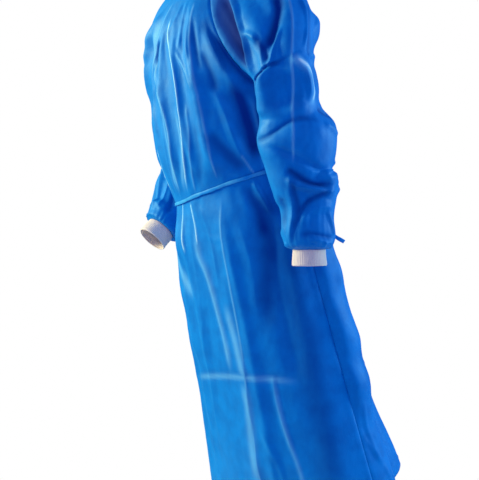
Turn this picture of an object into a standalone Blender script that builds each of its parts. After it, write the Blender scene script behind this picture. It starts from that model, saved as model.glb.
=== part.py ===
"""Surgical gown, as it hangs when worn: front, two lapping back panels, raglan sleeves, knitted cuffs,
neck binding and a waist tie knotted at the back. Metres, +Z up, the wearer faces -Y and the wearer's
left is +X. The origin is the middle of the neck opening, level with the base of the neck."""

import functools
import math

import bmesh
import bpy
import numpy as np
from mathutils import Vector

# Driving dimensions
CLOTH = 0.0015
SEAM_GAP = 0.0003
UNDERARM_Z = -0.285
HEM_Z = -1.245
NECK_HALF_WIDTH = 0.078
NECK_FRONT = 0.088
NECK_BACK = 0.060
NECK_MIDDLE_Z = -0.025
NECK_SLOPE = 0.037
NECK_SEAM_DEGREES = 62.0
BINDING_HEIGHT = 0.010
BINDING_WALL = 0.0024
BELT_WIDTH = 0.011
BELT_WALL = 0.0020
BELT_LIFT = 0.0004
BELT_LEVEL = -0.490
LAP = 0.3
LAP_GAP = 0.0020
SEAM_FACET = 0.004
SLEEVE_OUT = 0.0004
ARM_CLEAR = 0.0030
HEM_RISE = 0.055
CUFF_WALL = 0.0022

# Where one shape eases into the next. THIGH_Z is the level below which the tie no longer tilts the body,
# the two hem angles are where its rise to the back starts and ends, and SIDE_GIRTH is half a panel's width.
THIGH_Z = -0.95
HEM_RISE_DEGREES = (100.0, 260.0)
HEM_RISE_EASE = 40.0
SIDE_GIRTH = 0.2
LAP_EASE = 0.25
SEAM_EASE = 0.3
SEAM_EASE_Z = 0.05
FOLD_FADE = 0.25
TIE_HOLDS = 0.7
TIE_REACH = 0.03
BINDING_OUT = 0.0004
BINDING_LAP_DEGREES = 120.0
SLEEVE_SEAM_EASE = 0.25
UNDERARM_EASE = 1.5
WRIST_BACK = 0.0045
WRIST_FULLER = 0.012

# Girth of a body and of a sleeve, as metres for each degree round it
BODY_DEGREE = 0.0032
SLEEVE_DEGREE = 0.0012
# Rough directions: outwards from each sleeve, and rearwards at the underarm
ARM_OUT = {1: np.array([0.94, -0.342, 0.0]), -1: np.array([-0.94, 0.24, 0.0])}
REARWARD = np.array([0.0, 1.0, 0.04])
UP = np.array([0.0, 0.0, 1.0])

BLUE = (0.007, 0.180, 0.620, 1.0)
WHITE = (0.780, 0.780, 0.820, 1.0)

# Sections of the body below the underarms. A row is one level; side_y is where the side seam lies.
SECTION_COLUMNS = ("z", "half_width", "side_y", "front_y", "back_y")
SECTIONS = (
    (-0.285, 0.205, -0.020, -0.156, 0.130),
    (-0.360, 0.203, -0.014, -0.156, 0.132),
    (-0.440, 0.194, -0.006, -0.146, 0.134),
    (-0.490, 0.184, 0.000, -0.134, 0.134),
    (-0.540, 0.194, 0.004, -0.132, 0.140),
    (-0.620, 0.204, 0.008, -0.128, 0.150),
    (-0.750, 0.218, 0.018, -0.122, 0.160),
    (-0.920, 0.236, 0.034, -0.116, 0.182),
    (-1.080, 0.253, 0.048, -0.114, 0.212),
    (-1.245, 0.268, 0.066, -0.114, 0.252),
)

# Curves of the raglan seams and of the shoulder crest, on the wearer's left, as Bezier control points.
UNDERARM = (0.205, -0.020, -0.285)
FRONT_SEAM = ((0.0689, -0.0413, -0.0424), (0.115, -0.125, -0.130), (0.215, -0.125, -0.270), UNDERARM)
BACK_SEAM = ((0.0689, 0.0282, -0.0076), (0.118, 0.112, -0.090), (0.215, 0.090, -0.230), UNDERARM)
FRONT_MIDDLE = ((0.0, -0.088, -0.062), (0.0, -0.130, -0.110), (0.0, -0.158, -0.200), (0.0, -0.156, -0.285))
BACK_MIDDLE = ((0.0, 0.060, 0.012), (0.0, 0.100, -0.030), (0.0, 0.128, -0.140), (0.0, 0.130, -0.285))

# Folds of the body. A row runs from the top angle and level to the low ones; 0 degrees is the front,
# 90 the wearer's left and 180 the back. A negative height is a trough.
FOLD_COLUMNS = ("top_degrees", "top_z", "low_degrees", "low_z", "half_width", "height")
FOLDS = (
    (52, -0.110, 66, -0.450, 0.020, 0.010),
    (73, -0.290, 77, -0.480, 0.024, -0.014),
    (24, -0.090, 29, -0.480, 0.012, 0.006),
    (8, -0.080, 14, -0.490, 0.011, 0.005),
    (-8, -0.080, -6, -0.490, 0.012, 0.006),
    (-26, -0.080, -28, -0.490, 0.014, 0.006),
    (-56, -0.120, -64, -0.480, 0.020, 0.002),
    (27, -0.500, 27, -1.250, 0.012, 0.006),
    (58, -0.520, 54, -0.960, 0.024, -0.012),
    (70, -0.560, 62, -1.250, 0.032, 0.010),
    (108, -0.640, 108, -1.250, 0.045, 0.008),
    (132, -0.780, 121.5, -1.250, 0.022, -0.020),
    (-20, -0.520, -12, -0.900, 0.014, 0.006),
    (-46, -0.540, -40, -1.250, 0.024, 0.008),
    (-74, -0.560, -70, -1.250, 0.030, -0.012),
    (-100, -0.600, -104, -1.250, 0.045, 0.014),
    (-132, -0.660, -138, -1.250, 0.030, -0.014),
    (150, -0.560, 146, -1.250, 0.034, 0.012),
    (203, -0.520, 212, -1.250, 0.032, 0.012),
    (116, -0.200, 122, -0.450, 0.018, 0.008),
    (142, -0.100, 150, -0.440, 0.018, 0.007),
    (208, -0.100, 200, -0.440, 0.018, 0.007),
    (236, -0.200, 232, -0.440, 0.020, 0.008),
)

# Stations down the sleeves from the underarm ring to the wrist: the ring's middle and its half widths,
# out from the body and front to back.
STATION_COLUMNS = ("x", "y", "z", "out", "deep")
LEFT_STATIONS = (
    (0.2755, -0.0455, -0.262, 0.0750, 0.0740),
    (0.2765, -0.0450, -0.302, 0.0680, 0.0680),
    (0.2780, -0.0450, -0.345, 0.0640, 0.0640),
    (0.2830, -0.0390, -0.392, 0.0710, 0.0860),
    (0.2840, -0.0430, -0.455, 0.0660, 0.0750),
    (0.2840, -0.0500, -0.490, 0.0580, 0.0600),
    (0.2860, -0.0320, -0.520, 0.0600, 0.0700),
    (0.2870, -0.0400, -0.552, 0.0530, 0.0550),
    (0.2880, -0.0455, -0.585, 0.0530, 0.0560),
    (0.2893, -0.0470, -0.614, 0.0530, 0.0545),
)
RIGHT_STATIONS = (
    (-0.2675, 0.0375, -0.260, 0.0750, 0.0740),
    (-0.2720, 0.0490, -0.308, 0.0690, 0.0720),
    (-0.2750, 0.0620, -0.350, 0.0680, 0.0700),
    (-0.2730, 0.0700, -0.390, 0.0690, 0.0750),
    (-0.2670, 0.0630, -0.428, 0.0640, 0.0720),
    (-0.2600, 0.0400, -0.466, 0.0600, 0.0640),
    (-0.2520, 0.0000, -0.508, 0.0610, 0.0680),
    (-0.2350, -0.0400, -0.546, 0.0530, 0.0580),
    (-0.2279, -0.0674, -0.5723, 0.0490, 0.0520),
)
LEFT_CREST = ((0.078, 0.0, -0.025), (0.170, 0.012, -0.020), (0.318, 0.006, -0.060), (0.346, -0.071, -0.240))
RIGHT_CREST = ((-0.078, 0.0, -0.025), (-0.165, 0.014, -0.020), (-0.306, 0.050, -0.060), (-0.330, 0.095, -0.235))
# Half width of each sleeve, front to back, from the neck (0) to the underarm (1)
YOKE_COLUMNS = ("share", "left", "right")
YOKE = (
    (0.0, 0.0348, 0.0348),
    (0.25, 0.0850, 0.0780),
    (0.5, 0.1010, 0.0880),
    (0.75, 0.0960, 0.0840),
    (1.0, 0.0740, 0.0740),
)

# Folds of the sleeves: 0 degrees is the outer side, -90 the front, 90 the back; the station is a row above.
SLEEVE_FOLD_COLUMNS = ("top_degrees", "top_station", "low_degrees", "low_station", "half_width", "height")
SLEEVE_FOLDS = (
    (66, -0.72, 78, -0.05, 0.024, 0.018),
    (-40, -1.0, -20, 2.2, 0.020, -0.012),
    (-75, -0.8, -95, 1.6, 0.016, -0.009),
    (30, -0.6, 8, 1.8, 0.020, 0.008),
    (-60, 3.2, 40, 4.6, 0.014, -0.007),
    (-20, 4.6, -6, 8.6, 0.012, -0.006),
    (120, 0.4, 150, 4.0, 0.022, 0.008),
    (-130, 1.0, -150, 5.0, 0.022, 0.007),
)

# The cuffs, as their two ends: the middle of the ring and its radius
LEFT_CUFF = ((0.2900, -0.0506, -0.6345, 0.0345), (0.2900, -0.0560, -0.6680, 0.0372))
RIGHT_CUFF = ((-0.2290, -0.0850, -0.5855, 0.0350), (-0.2308, -0.1130, -0.6064, 0.0368))

# The knot of the waist tie, and the paths of its two free ends from the knot's middle
KNOT_DEGREES = 171.0
KNOT_RADII = (0.013, 0.006, 0.009)
TAIL_WIDTH = 0.010
TAIL_COLUMNS = ("left", "back", "up")
LEFT_TAIL = (
    (0.0052, 0.0010, -0.0093),
    (0.0070, 0.0060, -0.0230),
    (0.0100, 0.0220, -0.0600),
    (0.0160, 0.0300, -0.1100),
    (0.0220, 0.0420, -0.1540),
    (0.0290, 0.0660, -0.1820),
    (0.0350, 0.0880, -0.2000),
)
RIGHT_TAIL = (
    (-0.0052, 0.0010, -0.0093),
    (-0.0090, 0.0060, -0.0230),
    (-0.0260, 0.0180, -0.0700),
    (-0.0340, 0.0280, -0.1300),
    (-0.0400, 0.0380, -0.1900),
    (-0.0440, 0.0440, -0.2300),
)

SIDE = {1: "left", -1: "right"}
# Rows between the neckline (0) and the underarm (1), the same on both sides of the raglan seams
CHEST = np.linspace(0.0, 1.0, 9)


def column(table, columns, name):
    return np.array([row[columns.index(name)] for row in table], float)


def through(x, xs, ys):
    """A smooth curve through the points xs, ys, with the slope at each worked out from its neighbours."""
    x = np.clip(x, xs[0], xs[-1])
    slopes = np.gradient(ys, xs)
    i = np.clip(np.searchsorted(xs, x, side="right") - 1, 0, len(xs) - 2)
    step = xs[i + 1] - xs[i]
    t = (x - xs[i]) / step
    return (
        ys[i] * (1 + 2 * t) * (1 - t) ** 2
        + slopes[i] * step * t * (1 - t) ** 2
        + ys[i + 1] * t**2 * (3 - 2 * t)
        + slopes[i + 1] * step * t**2 * (t - 1)
    )


def bezier(points, t):
    p = np.array(points, float)
    t = np.asarray(t, float)[..., None]
    return p[0] * (1 - t) ** 3 + 3 * p[1] * t * (1 - t) ** 2 + 3 * p[2] * t**2 * (1 - t) + p[3] * t**3


def eased(t):
    t = np.clip(t, 0.0, 1.0)
    return t * t * (3 - 2 * t)


def unit(v):
    return v / np.maximum(np.linalg.norm(v, axis=-1, keepdims=True), 1e-12)


def fold_height(table, columns, degrees, along, top, low, metres_per_degree):
    """Height of the folds of a table at an angle and a place along the piece. Each fades at both ends."""
    total = np.zeros(np.broadcast(degrees, along).shape)
    for row in table:
        fold = dict(zip(columns, row))
        t = (along - fold[top]) / (fold[low] - fold[top])
        middle = fold["top_degrees"] + np.clip(t, 0, 1) * (fold["low_degrees"] - fold["top_degrees"])
        off = ((degrees - middle + 180) % 360 - 180) * metres_per_degree
        fade = eased(t / FOLD_FADE) * eased((1 - t) / FOLD_FADE + (fold[low] <= HEM_Z) * 1.0)
        total += fold["height"] * fade * np.exp(-((off / fold["half_width"]) ** 2))
    return total


def belt_z(degrees):
    """The height of the waist tie, which lies lower in front and to the wearer's right."""
    angle = np.radians(degrees)
    return BELT_LEVEL - 0.017 * np.cos(angle) + 0.0275 * np.sin(angle) + 0.005 * np.sin(2 * angle)


def level_z(level, degrees):
    """A level of the body is flat at the underarm and at the thigh, follows the tie near it, and rises
    to the back at the hem."""
    share = np.where(
        level > BELT_LEVEL,
        eased((UNDERARM_Z - level) / (UNDERARM_Z - BELT_LEVEL)),
        eased((level - THIGH_Z) / (BELT_LEVEL - THIGH_Z)),
    )
    first, last = HEM_RISE_DEGREES
    behind = eased((degrees - first) / HEM_RISE_EASE) * eased((last - degrees) / HEM_RISE_EASE)
    rise = behind * eased((THIGH_Z - level) / (THIGH_Z - HEM_Z)) * HEM_RISE
    return level + share * (belt_z(degrees) - BELT_LEVEL) + rise


def lower_body(side, u, level):
    """A point of the body below the underarms. side is -1 for the front and 1 for the back; u runs from
    -1 at the wearer's right side seam to 1 at the left one."""
    zs = column(SECTIONS, SECTION_COLUMNS, "z")[::-1]
    half_width, side_y, front_y, back_y = (
        through(level, zs, column(SECTIONS, SECTION_COLUMNS, name)[::-1]) for name in SECTION_COLUMNS[1:]
    )
    angle = u * math.pi / 2
    depth = np.where(side < 0, side_y - front_y, back_y - side_y)
    degrees = np.where(side < 0, 90.0 * u, 180.0 - 90.0 * u)
    point = np.stack(
        [half_width * np.sin(angle), side_y + side * depth * np.cos(angle), level_z(level, degrees)], -1
    )
    outward = unit(np.stack([np.sin(angle) / half_width, side * np.cos(angle) / depth, 0 * u], -1))
    return point, outward, degrees


def upper_body(side, u, share):
    """A point of the body from the neckline (share 0) down to the underarms (share 1), between the
    raglan seams."""
    seam = bezier(FRONT_SEAM if side < 0 else BACK_SEAM, share)
    middle = bezier(FRONT_MIDDLE if side < 0 else BACK_MIDDLE, share)
    end = np.radians(NECK_SEAM_DEGREES + (90.0 - NECK_SEAM_DEGREES) * eased(share))
    angle = u * end
    round_it = (np.cos(angle) - np.cos(end)) / (1 - np.cos(end))
    x = seam[..., 0] * np.sin(angle) / np.sin(end)
    y = seam[..., 1] + (middle[..., 1] - seam[..., 1]) * round_it
    z = seam[..., 2] + (middle[..., 2] - seam[..., 2]) * round_it
    degrees = np.degrees(angle) if side < 0 else 180.0 - np.degrees(angle)
    outward = unit(np.stack([np.sin(angle), side * np.cos(angle), 0 * u], -1))
    return np.stack([x, y, z], -1), outward, degrees


def body_surface(side, u, row):
    """A point of the body's outer face. A row from 0 to 1 is above the underarms, and below 0 it is a
    level in metres."""
    u, row = np.broadcast_arrays(np.asarray(u, float), np.asarray(row, float))
    above = row >= 0
    upper = upper_body(side, u, np.where(above, row, 1.0))
    lower = lower_body(side, u, np.where(above, UNDERARM_Z, row))
    point, outward = (np.where(above[..., None], a, b) for a, b in zip(upper[:2], lower[:2]))
    degrees = np.where(above, upper[2], lower[2])
    height = fold_height(FOLDS, FOLD_COLUMNS, degrees, point[..., 2], "top_z", "low_z", BODY_DEGREE)
    from_seam = eased((1 - np.abs(u)) / SEAM_EASE)
    below = eased((UNDERARM_Z - point[..., 2]) / SEAM_EASE_Z)
    height = height * np.where(above, from_seam, from_seam + (1 - from_seam) * below)
    held_in = 1 - TIE_HOLDS * np.exp(-(((point[..., 2] - belt_z(degrees)) / TIE_REACH) ** 2))
    return point + outward * (height * held_in)[..., None], outward


def front_surface(u, row):
    return body_surface(-1, u, row)[0]


def back_left_surface(u, row):
    return body_surface(1, u, row)[0]


def back_right_surface(u, row):
    point, outward = body_surface(1, u, row)
    under = (CLOTH + LAP_GAP) * eased((u + LAP + LAP_EASE) / LAP_EASE)
    return point - outward * under[..., None]


def mirrored(points):
    return points * np.array([-1.0, 1.0, 1.0])


def sleeve_frame(stations, hand, place):
    """The middle, the outward and rearward directions and the half widths of a sleeve's ring."""
    index = np.arange(len(stations), dtype=float)
    values = {n: column(stations, STATION_COLUMNS, n) for n in STATION_COLUMNS}
    middle = np.stack([through(place, index, values[n]) for n in ("x", "y", "z")], -1)
    ahead = np.stack([through(place + 1, index, values[n]) for n in ("x", "y", "z")], -1)
    behind = np.stack([through(place - 1, index, values[n]) for n in ("x", "y", "z")], -1)
    along = unit(ahead - behind)
    out = unit(ARM_OUT[hand] - along * (along @ ARM_OUT[hand])[..., None])
    back = np.cross(along, out) * -hand
    return middle, out, back, through(place, index, values["out"]), through(place, index, values["deep"])


def sleeve_yoke(crest, hand, w, share):
    """A point of the sleeve between the neckline (share 0) and the underarm (share 1)."""
    front, back = bezier(FRONT_SEAM, share), bezier(BACK_SEAM, share)
    if hand < 0:
        front, back = mirrored(front), mirrored(back)
    top = bezier(crest, share)
    middle, half = (front + back) / 2, (back - front) / 2
    span = np.linalg.norm(half, axis=-1)
    deep = through(share, column(YOKE, YOKE_COLUMNS, "share"), column(YOKE, YOKE_COLUMNS, SIDE[hand]))
    deep = np.maximum(deep, span * 1.0001)
    end = math.pi - np.arcsin(span / deep)
    rearward = np.where((span > 1e-4)[..., None], half / np.maximum(span, 1e-9)[..., None], REARWARD)
    angle = w * end
    lift = (np.cos(angle) - np.cos(end)) / (1 - np.cos(end))
    point = middle + rearward * (deep * np.sin(angle))[..., None] + (top - middle) * lift[..., None]
    outward = unit(unit(top - middle) * np.cos(angle)[..., None] + rearward * np.sin(angle)[..., None])
    return point, outward, np.degrees(angle)


def sleeve_arm(stations, hand, crest, w, place):
    """A point of the sleeve from the underarm ring (place 0) down to the wrist."""
    middle, out, back, wide, deep = sleeve_frame(stations, hand, place)
    underarm = np.array(UNDERARM) * np.array([hand, 1.0, 1.0])
    first = np.array(crest[3])
    settled = eased(place / UNDERARM_EASE)[..., None]
    middle = (first + underarm) / 2 * (1 - settled) + middle * settled
    out = (first - underarm) / 2 * (1 - settled) + out * wide[..., None] * settled
    back = REARWARD * YOKE[-1][1] * (1 - settled) + back * deep[..., None] * settled
    angle = w * math.pi
    point = middle + out * np.cos(angle)[..., None] + back * np.sin(angle)[..., None]
    clear = ARM_CLEAR * eased(place / SLEEVE_SEAM_EASE) * eased((len(stations) - 2 - place) / 2)
    point[..., 0] += hand * clear * (1 - np.cos(angle)) / 2
    outward = unit(unit(out) * np.cos(angle)[..., None] + unit(back) * np.sin(angle)[..., None])
    return point, outward, np.degrees(angle)


def sleeve_surface(stations, crest, hand, w, row):
    """A point of a sleeve's outer face. A row below 0 is above the underarm, -1 being the neckline, and
    from 0 up it is a place along the stations."""
    w, row = np.broadcast_arrays(np.asarray(w, float), np.asarray(row, float))
    above = row < 0
    yoke = sleeve_yoke(crest, hand, w, np.where(above, row + 1, 1.0))
    arm = sleeve_arm(stations, hand, crest, w, np.where(above, 0.0, row))
    point, outward = (np.where(above[..., None], a, b) for a, b in zip(yoke[:2], arm[:2]))
    degrees = np.where(above, yoke[2], arm[2])
    ends = ("top_station", "low_station")
    height = fold_height(SLEEVE_FOLDS, SLEEVE_FOLD_COLUMNS, degrees, row, *ends, SLEEVE_DEGREE)
    from_seam = eased((1 - np.abs(w)) / SLEEVE_SEAM_EASE)
    height = height * np.where(row < 0.6, from_seam, 1.0) * eased((row + 1) / SEAM_EASE)
    return point + outward * height[..., None]


def object_of(name, mesh, colour, roughness):
    made = bpy.data.objects.new(name, mesh)
    GOWN.objects.link(made)
    material = bpy.data.materials.new(name)
    material.use_nodes = True
    shader = material.node_tree.nodes["Principled BSDF"]
    shader.inputs["Base Color"].default_value = colour
    shader.inputs["Roughness"].default_value = roughness
    shader.inputs["Metallic"].default_value = 0.0
    mesh.materials.append(material)
    mesh.shade_smooth()
    mesh.set_sharp_from_angle(angle=math.radians(50))
    return made


def sheet(name, columns, rows, surface, wall, colour=BLUE, closed=False, flip=False, seams=()):
    """A sheet of cloth: a grid laid over a surface, with the wall built inwards from it. Each of the
    seams is an end column and the one beside it; the end column is held half a seam's gap away."""
    mesh = bpy.data.meshes.new(name)
    grid = bmesh.new()
    bmesh.ops.create_grid(grid, x_segments=len(columns) - 1, y_segments=len(rows) - 1, size=1.0)
    points = surface(*np.meshgrid(columns, rows))
    for end, beside in seams:
        points[:, end] += unit(points[:, beside] - points[:, end]) * SEAM_GAP / 2
    for vertex in grid.verts:
        i = round((vertex.co.x + 1) / 2 * (len(columns) - 1))
        j = round((vertex.co.y + 1) / 2 * (len(rows) - 1))
        vertex.co = Vector(points[j, i])
    if closed:
        bmesh.ops.remove_doubles(grid, verts=grid.verts, dist=1e-5)
    if flip:
        bmesh.ops.reverse_faces(grid, faces=grid.faces)
    bmesh.ops.triangulate(grid, faces=grid.faces, quad_method="SHORT_EDGE")
    grid.to_mesh(mesh)
    grid.free()
    made = object_of(name, mesh, colour, 0.5)
    thickness = made.modifiers.new("wall", "SOLIDIFY")
    thickness.thickness = wall
    thickness.offset = -1.0
    return made


def between_seams(count):
    """Columns from one side seam to the other, with a narrow facet beside each seam so that both pieces
    there face the same way."""
    columns = np.linspace(-1, 1, count)
    facet = SEAM_FACET / SIDE_GIRTH
    return np.concatenate([columns[:1], [facet - 1], columns[1:-1], [1 - facet], columns[-1:]])


def body_rows():
    """Rows of a body panel from the hem up to the neckline, with one at each edge of the tie."""
    edge = BELT_WIDTH / 2
    skirt = np.linspace(HEM_Z, BELT_LEVEL - TIE_REACH, 14)
    tie = np.array([BELT_LEVEL - edge, BELT_LEVEL + edge])
    waist = np.linspace(BELT_LEVEL + TIE_REACH, UNDERARM_Z - BELT_WIDTH, 5)
    return np.concatenate([skirt, tie, waist, CHEST[::-1]])


def front_columns():
    return between_seams(25)


def back_columns():
    """Columns of the back from the right side seam to the left one. Each panel takes its share of them."""
    return between_seams(21)


def build_body():
    rows = body_rows()
    back = back_columns()
    left, right = back[back > -LAP - 0.001], back[back < LAP + 0.001]
    sheet("front", front_columns(), rows, front_surface, CLOTH, seams=((0, 1), (-1, -2)))
    sheet("back_left", left, rows, back_left_surface, CLOTH, flip=True, seams=((-1, -2),))
    sheet("back_right", right, rows, back_right_surface, CLOTH, flip=True, seams=((0, 1),))


def with_wrist(stations, cuff):
    """A sleeve's stations with two more, where it turns in and meets the end of its cuff."""
    start, end = (np.array(ring[:3]) for ring in cuff)
    axis = unit(end - start)
    radius = cuff[0][3]
    turn = tuple(start - axis * WRIST_BACK) + (radius + WRIST_FULLER,) * 2
    meet = tuple(start - axis * SEAM_GAP) + (radius,) * 2
    return stations + (turn, meet)


def build_sleeve(side, stations, crest, hand):
    arm = np.arange(0, len(stations) - 1 + 0.25, 0.5)
    rows = np.concatenate([CHEST[:-1] - 1, arm])

    def surface(w, row):
        return sleeve_surface(stations, crest, hand, w, row) + np.array([hand * SLEEVE_OUT, 0.0, 0.0])

    sheet(f"sleeve_{side}", np.linspace(-1, 1, 21), rows, surface, CLOTH, closed=True, flip=hand > 0)


def cuff_surface(ends, w, t):
    (low, high) = (np.array(e) for e in ends)
    along = unit(high[:3] - low[:3])
    across = unit(np.cross(along, np.array([0.0, 1.0, 0.0])))
    other = np.cross(along, across)
    middle = low[:3] + (high[:3] - low[:3]) * t[..., None]
    radius = low[3] + (high[3] - low[3]) * t
    angle = w * math.pi
    return middle + across * (radius * np.cos(angle))[..., None] + other * (radius * np.sin(angle))[..., None]


def build_cuff(side, ends):
    surface = functools.partial(cuff_surface, ends)
    sheet(f"cuff_{side}", np.linspace(-1, 1, 25), np.linspace(0, 1, 3), surface, CUFF_WALL, WHITE, closed=True)


def neck_point(turn):
    """A point of the neckline. turn is in degrees from the front; past 180 either way it laps at the back."""
    angle = np.radians(turn)
    depth = np.where(np.cos(angle) > 0, NECK_FRONT, NECK_BACK)
    z = NECK_MIDDLE_Z - NECK_SLOPE * np.cos(angle)
    return np.stack([NECK_HALF_WIDTH * np.sin(angle), -depth * np.cos(angle), z], -1)


def binding_surface(turn, rise):
    point = neck_point(turn)
    outward = unit(np.stack([np.sin(np.radians(turn)), -np.cos(np.radians(turn)), 0 * turn], -1))
    lapped = (BINDING_WALL + LAP_GAP) * eased((-turn - BINDING_LAP_DEGREES) / HEM_RISE_EASE)
    lift = rise * BINDING_HEIGHT + SEAM_GAP
    return point + outward * (BINDING_OUT - lapped)[..., None] + UP * lift[..., None]


def build_binding():
    past = LAP * NECK_SEAM_DEGREES
    turns = np.linspace(-180 - past, 180 + past, 41)
    sheet("neck_binding", turns, np.linspace(0, 1, 3), binding_surface, BINDING_WALL)


def belt_ring():
    """The body's outer points round the waist, as columns, and the way out at each."""
    edge = BELT_WIDTH / 2
    rows = np.array([BELT_LEVEL - edge, BELT_LEVEL + edge])
    points, outs = [], []
    for side, columns in ((-1, front_columns()), (1, back_columns()[::-1])):
        point, outward = body_surface(side, *np.meshgrid(columns, rows))
        points.append(point)
        outs.append(outward)
    return np.concatenate(points, 1), np.concatenate(outs, 1)


def build_belt():
    points, outs = belt_ring()
    lifted = points + outs * (BELT_LIFT + BELT_WALL)
    lifted = np.concatenate([lifted, lifted[:, :1]], 1)
    columns, rows = np.arange(lifted.shape[1]), np.arange(2)

    def surface(i, j):
        return lifted[j.astype(int), i.astype(int)]

    sheet("waist_belt", columns, rows, surface, BELT_WALL, closed=True)


def knot_middle():
    point, outward = body_surface(1, np.array((180 - KNOT_DEGREES) / 90), np.array(BELT_LEVEL))
    return point + outward * (BELT_LIFT + BELT_WALL + KNOT_RADII[1] + SEAM_GAP)


def build_knot():
    ball = bmesh.new()
    bmesh.ops.create_uvsphere(ball, u_segments=14, v_segments=8, radius=1.0)
    bmesh.ops.scale(ball, verts=ball.verts, vec=KNOT_RADII)
    mesh = bpy.data.meshes.new("belt_knot")
    ball.to_mesh(mesh)
    ball.free()
    knot = object_of("belt_knot", mesh, BLUE, 0.5)
    knot.location = Vector(knot_middle())


def build_tail(side, path):
    """A ribbon down its path from the knot, its flat side to the wearer's back."""
    index = np.arange(len(path), dtype=float)
    start = knot_middle()

    def surface(across, along):
        place = along * (len(path) - 1)
        offset = [through(place, index, column(path, TAIL_COLUMNS, name)) for name in TAIL_COLUMNS]
        edge = np.array([1.0, 0.0, 0.0]) * (across * TAIL_WIDTH / 2)[..., None]
        return start + np.stack(offset, -1) + edge

    sheet(f"belt_end_{side}", np.linspace(-1, 1, 2), np.linspace(0, 1, 15), surface, BELT_WALL)


def main():
    build_body()
    build_sleeve("left", with_wrist(LEFT_STATIONS, LEFT_CUFF), LEFT_CREST, 1)
    build_sleeve("right", with_wrist(RIGHT_STATIONS, RIGHT_CUFF), RIGHT_CREST, -1)
    build_cuff("left", LEFT_CUFF)
    build_cuff("right", RIGHT_CUFF)
    build_binding()
    build_belt()
    build_knot()
    build_tail("left", LEFT_TAIL)
    build_tail("right", RIGHT_TAIL)


for leftover in list(bpy.data.objects):
    bpy.data.objects.remove(leftover, do_unlink=True)
GOWN = bpy.data.collections.new("surgical_gown")
bpy.context.scene.collection.children.link(GOWN)
main()
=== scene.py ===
"""Surgical gown, dressed for its photograph: thin creased cloth shells in place of the plain solids, knitted
cuffs, sewing, a crumpled waist tie, and a studio around them. Metres, +Z up, the wearer faces -Y and the
wearer's left is +X. The origin is the middle of the neck opening."""

import math

import bmesh
import bpy
import numpy as np
from mathutils import Matrix, Vector


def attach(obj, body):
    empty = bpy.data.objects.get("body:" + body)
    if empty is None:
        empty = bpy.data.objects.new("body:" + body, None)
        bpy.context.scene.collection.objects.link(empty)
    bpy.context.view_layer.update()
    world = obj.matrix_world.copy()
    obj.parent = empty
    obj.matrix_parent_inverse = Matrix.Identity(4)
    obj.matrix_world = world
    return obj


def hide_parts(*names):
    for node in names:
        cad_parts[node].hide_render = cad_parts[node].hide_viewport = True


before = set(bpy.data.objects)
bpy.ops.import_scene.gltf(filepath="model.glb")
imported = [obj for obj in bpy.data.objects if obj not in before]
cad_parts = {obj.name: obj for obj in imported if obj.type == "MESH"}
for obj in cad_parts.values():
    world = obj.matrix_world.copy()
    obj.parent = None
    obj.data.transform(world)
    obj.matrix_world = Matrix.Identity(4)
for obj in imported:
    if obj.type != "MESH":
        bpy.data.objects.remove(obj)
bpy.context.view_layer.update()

# Cloth and trim
MM = 0.001
CLOTH = 0.0015
SHELL = 0.0006
NECK_HALF_WIDTH = 0.078
NECK_FRONT = 0.088
NECK_BACK = 0.06
NECK_MIDDLE_Z = -0.025
NECK_SLOPE = 0.037
NECK_SEAM_DEGREES = 62.0
BINDING_HEIGHT = 0.01
BINDING_WALL = 0.0024
BINDING_LAP_DEGREES = 120.0
BELT_WIDTH = 0.011
BELT_WALL = 0.0016
# The tie is drawn in to this share of its width
BELT_GATHERED = 0.76
BELT_LEVEL = -0.49
UNDERARM_Z = -0.285
THIGH_Z = -0.95
HEM_Z = -1.245
HEM_RISE = 0.055
HEM_RISE_DEGREES = (100.0, 260.0)
HEM_RISE_EASE = 40.0
LAP = 0.3
LAP_GAP = 0.002
LAP_EASE = 0.25
SEAM_EASE = 0.3
SEAM_EASE_Z = 0.05
ROW_EASE_Z = 0.05
SIDE_EASE = 0.2
CHEST_LOW_Z = -0.45
HEM_FOLD = 0.018
FOLD_FADE = 0.25
TIE_HOLDS = 0.7
TIE_REACH = 0.03
TIE_GATHERS = 0.035
TIE_PINCH = 0.009
ARM_CLEAR = 0.003
SLEEVE_SEAM_EASE = 0.25
UNDERARM_EASE = 1.5
WRIST_BACK = 0.0045
WRIST_FULLER = 0.012
CUFF_WALL = 0.0022
BODY_DEGREE = 0.0032
SLEEVE_DEGREE = 0.0012
ARM_OUT = {1: np.array([0.94, -0.342, 0.0]), -1: np.array([-0.94, 0.24, 0.0])}
REARWARD = np.array([0.0, 1.0, 0.04])
UP = np.array([0.0, 0.0, 1.0])
SIDE = {1: "left", -1: "right"}

# Cells of the cloth shells
BODY_ROWS_BELOW = 165
BODY_ROWS_ABOVE = 55
FRONT_CELLS_FINE = 130
FRONT_CELLS_PLAIN = 55
FRONT_FINE_TURN = (-0.34, 0.74)
BACK_CELLS = 150
SLEEVE_CELLS = 176
SLEEVE_ROWS_ABOVE = 90
SLEEVE_ROWS_PER_STATION = 14
ROW_EASES = 120

# Sections of the body below the underarms, one level a row: its z, the half width, and y of the side seam,
# of the front and of the back
SECTIONS = (
    (-0.285, 0.205, -0.02, -0.156, 0.13),
    (-0.36, 0.203, -0.014, -0.156, 0.132),
    (-0.44, 0.194, -0.006, -0.146, 0.134),
    (-0.49, 0.184, 0.0, -0.134, 0.134),
    (-0.54, 0.194, 0.004, -0.132, 0.14),
    (-0.62, 0.204, 0.008, -0.128, 0.15),
    (-0.75, 0.218, 0.018, -0.122, 0.16),
    (-0.92, 0.236, 0.034, -0.116, 0.182),
    (-1.08, 0.253, 0.048, -0.114, 0.212),
    (-1.245, 0.268, 0.066, -0.114, 0.252),
)

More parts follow.
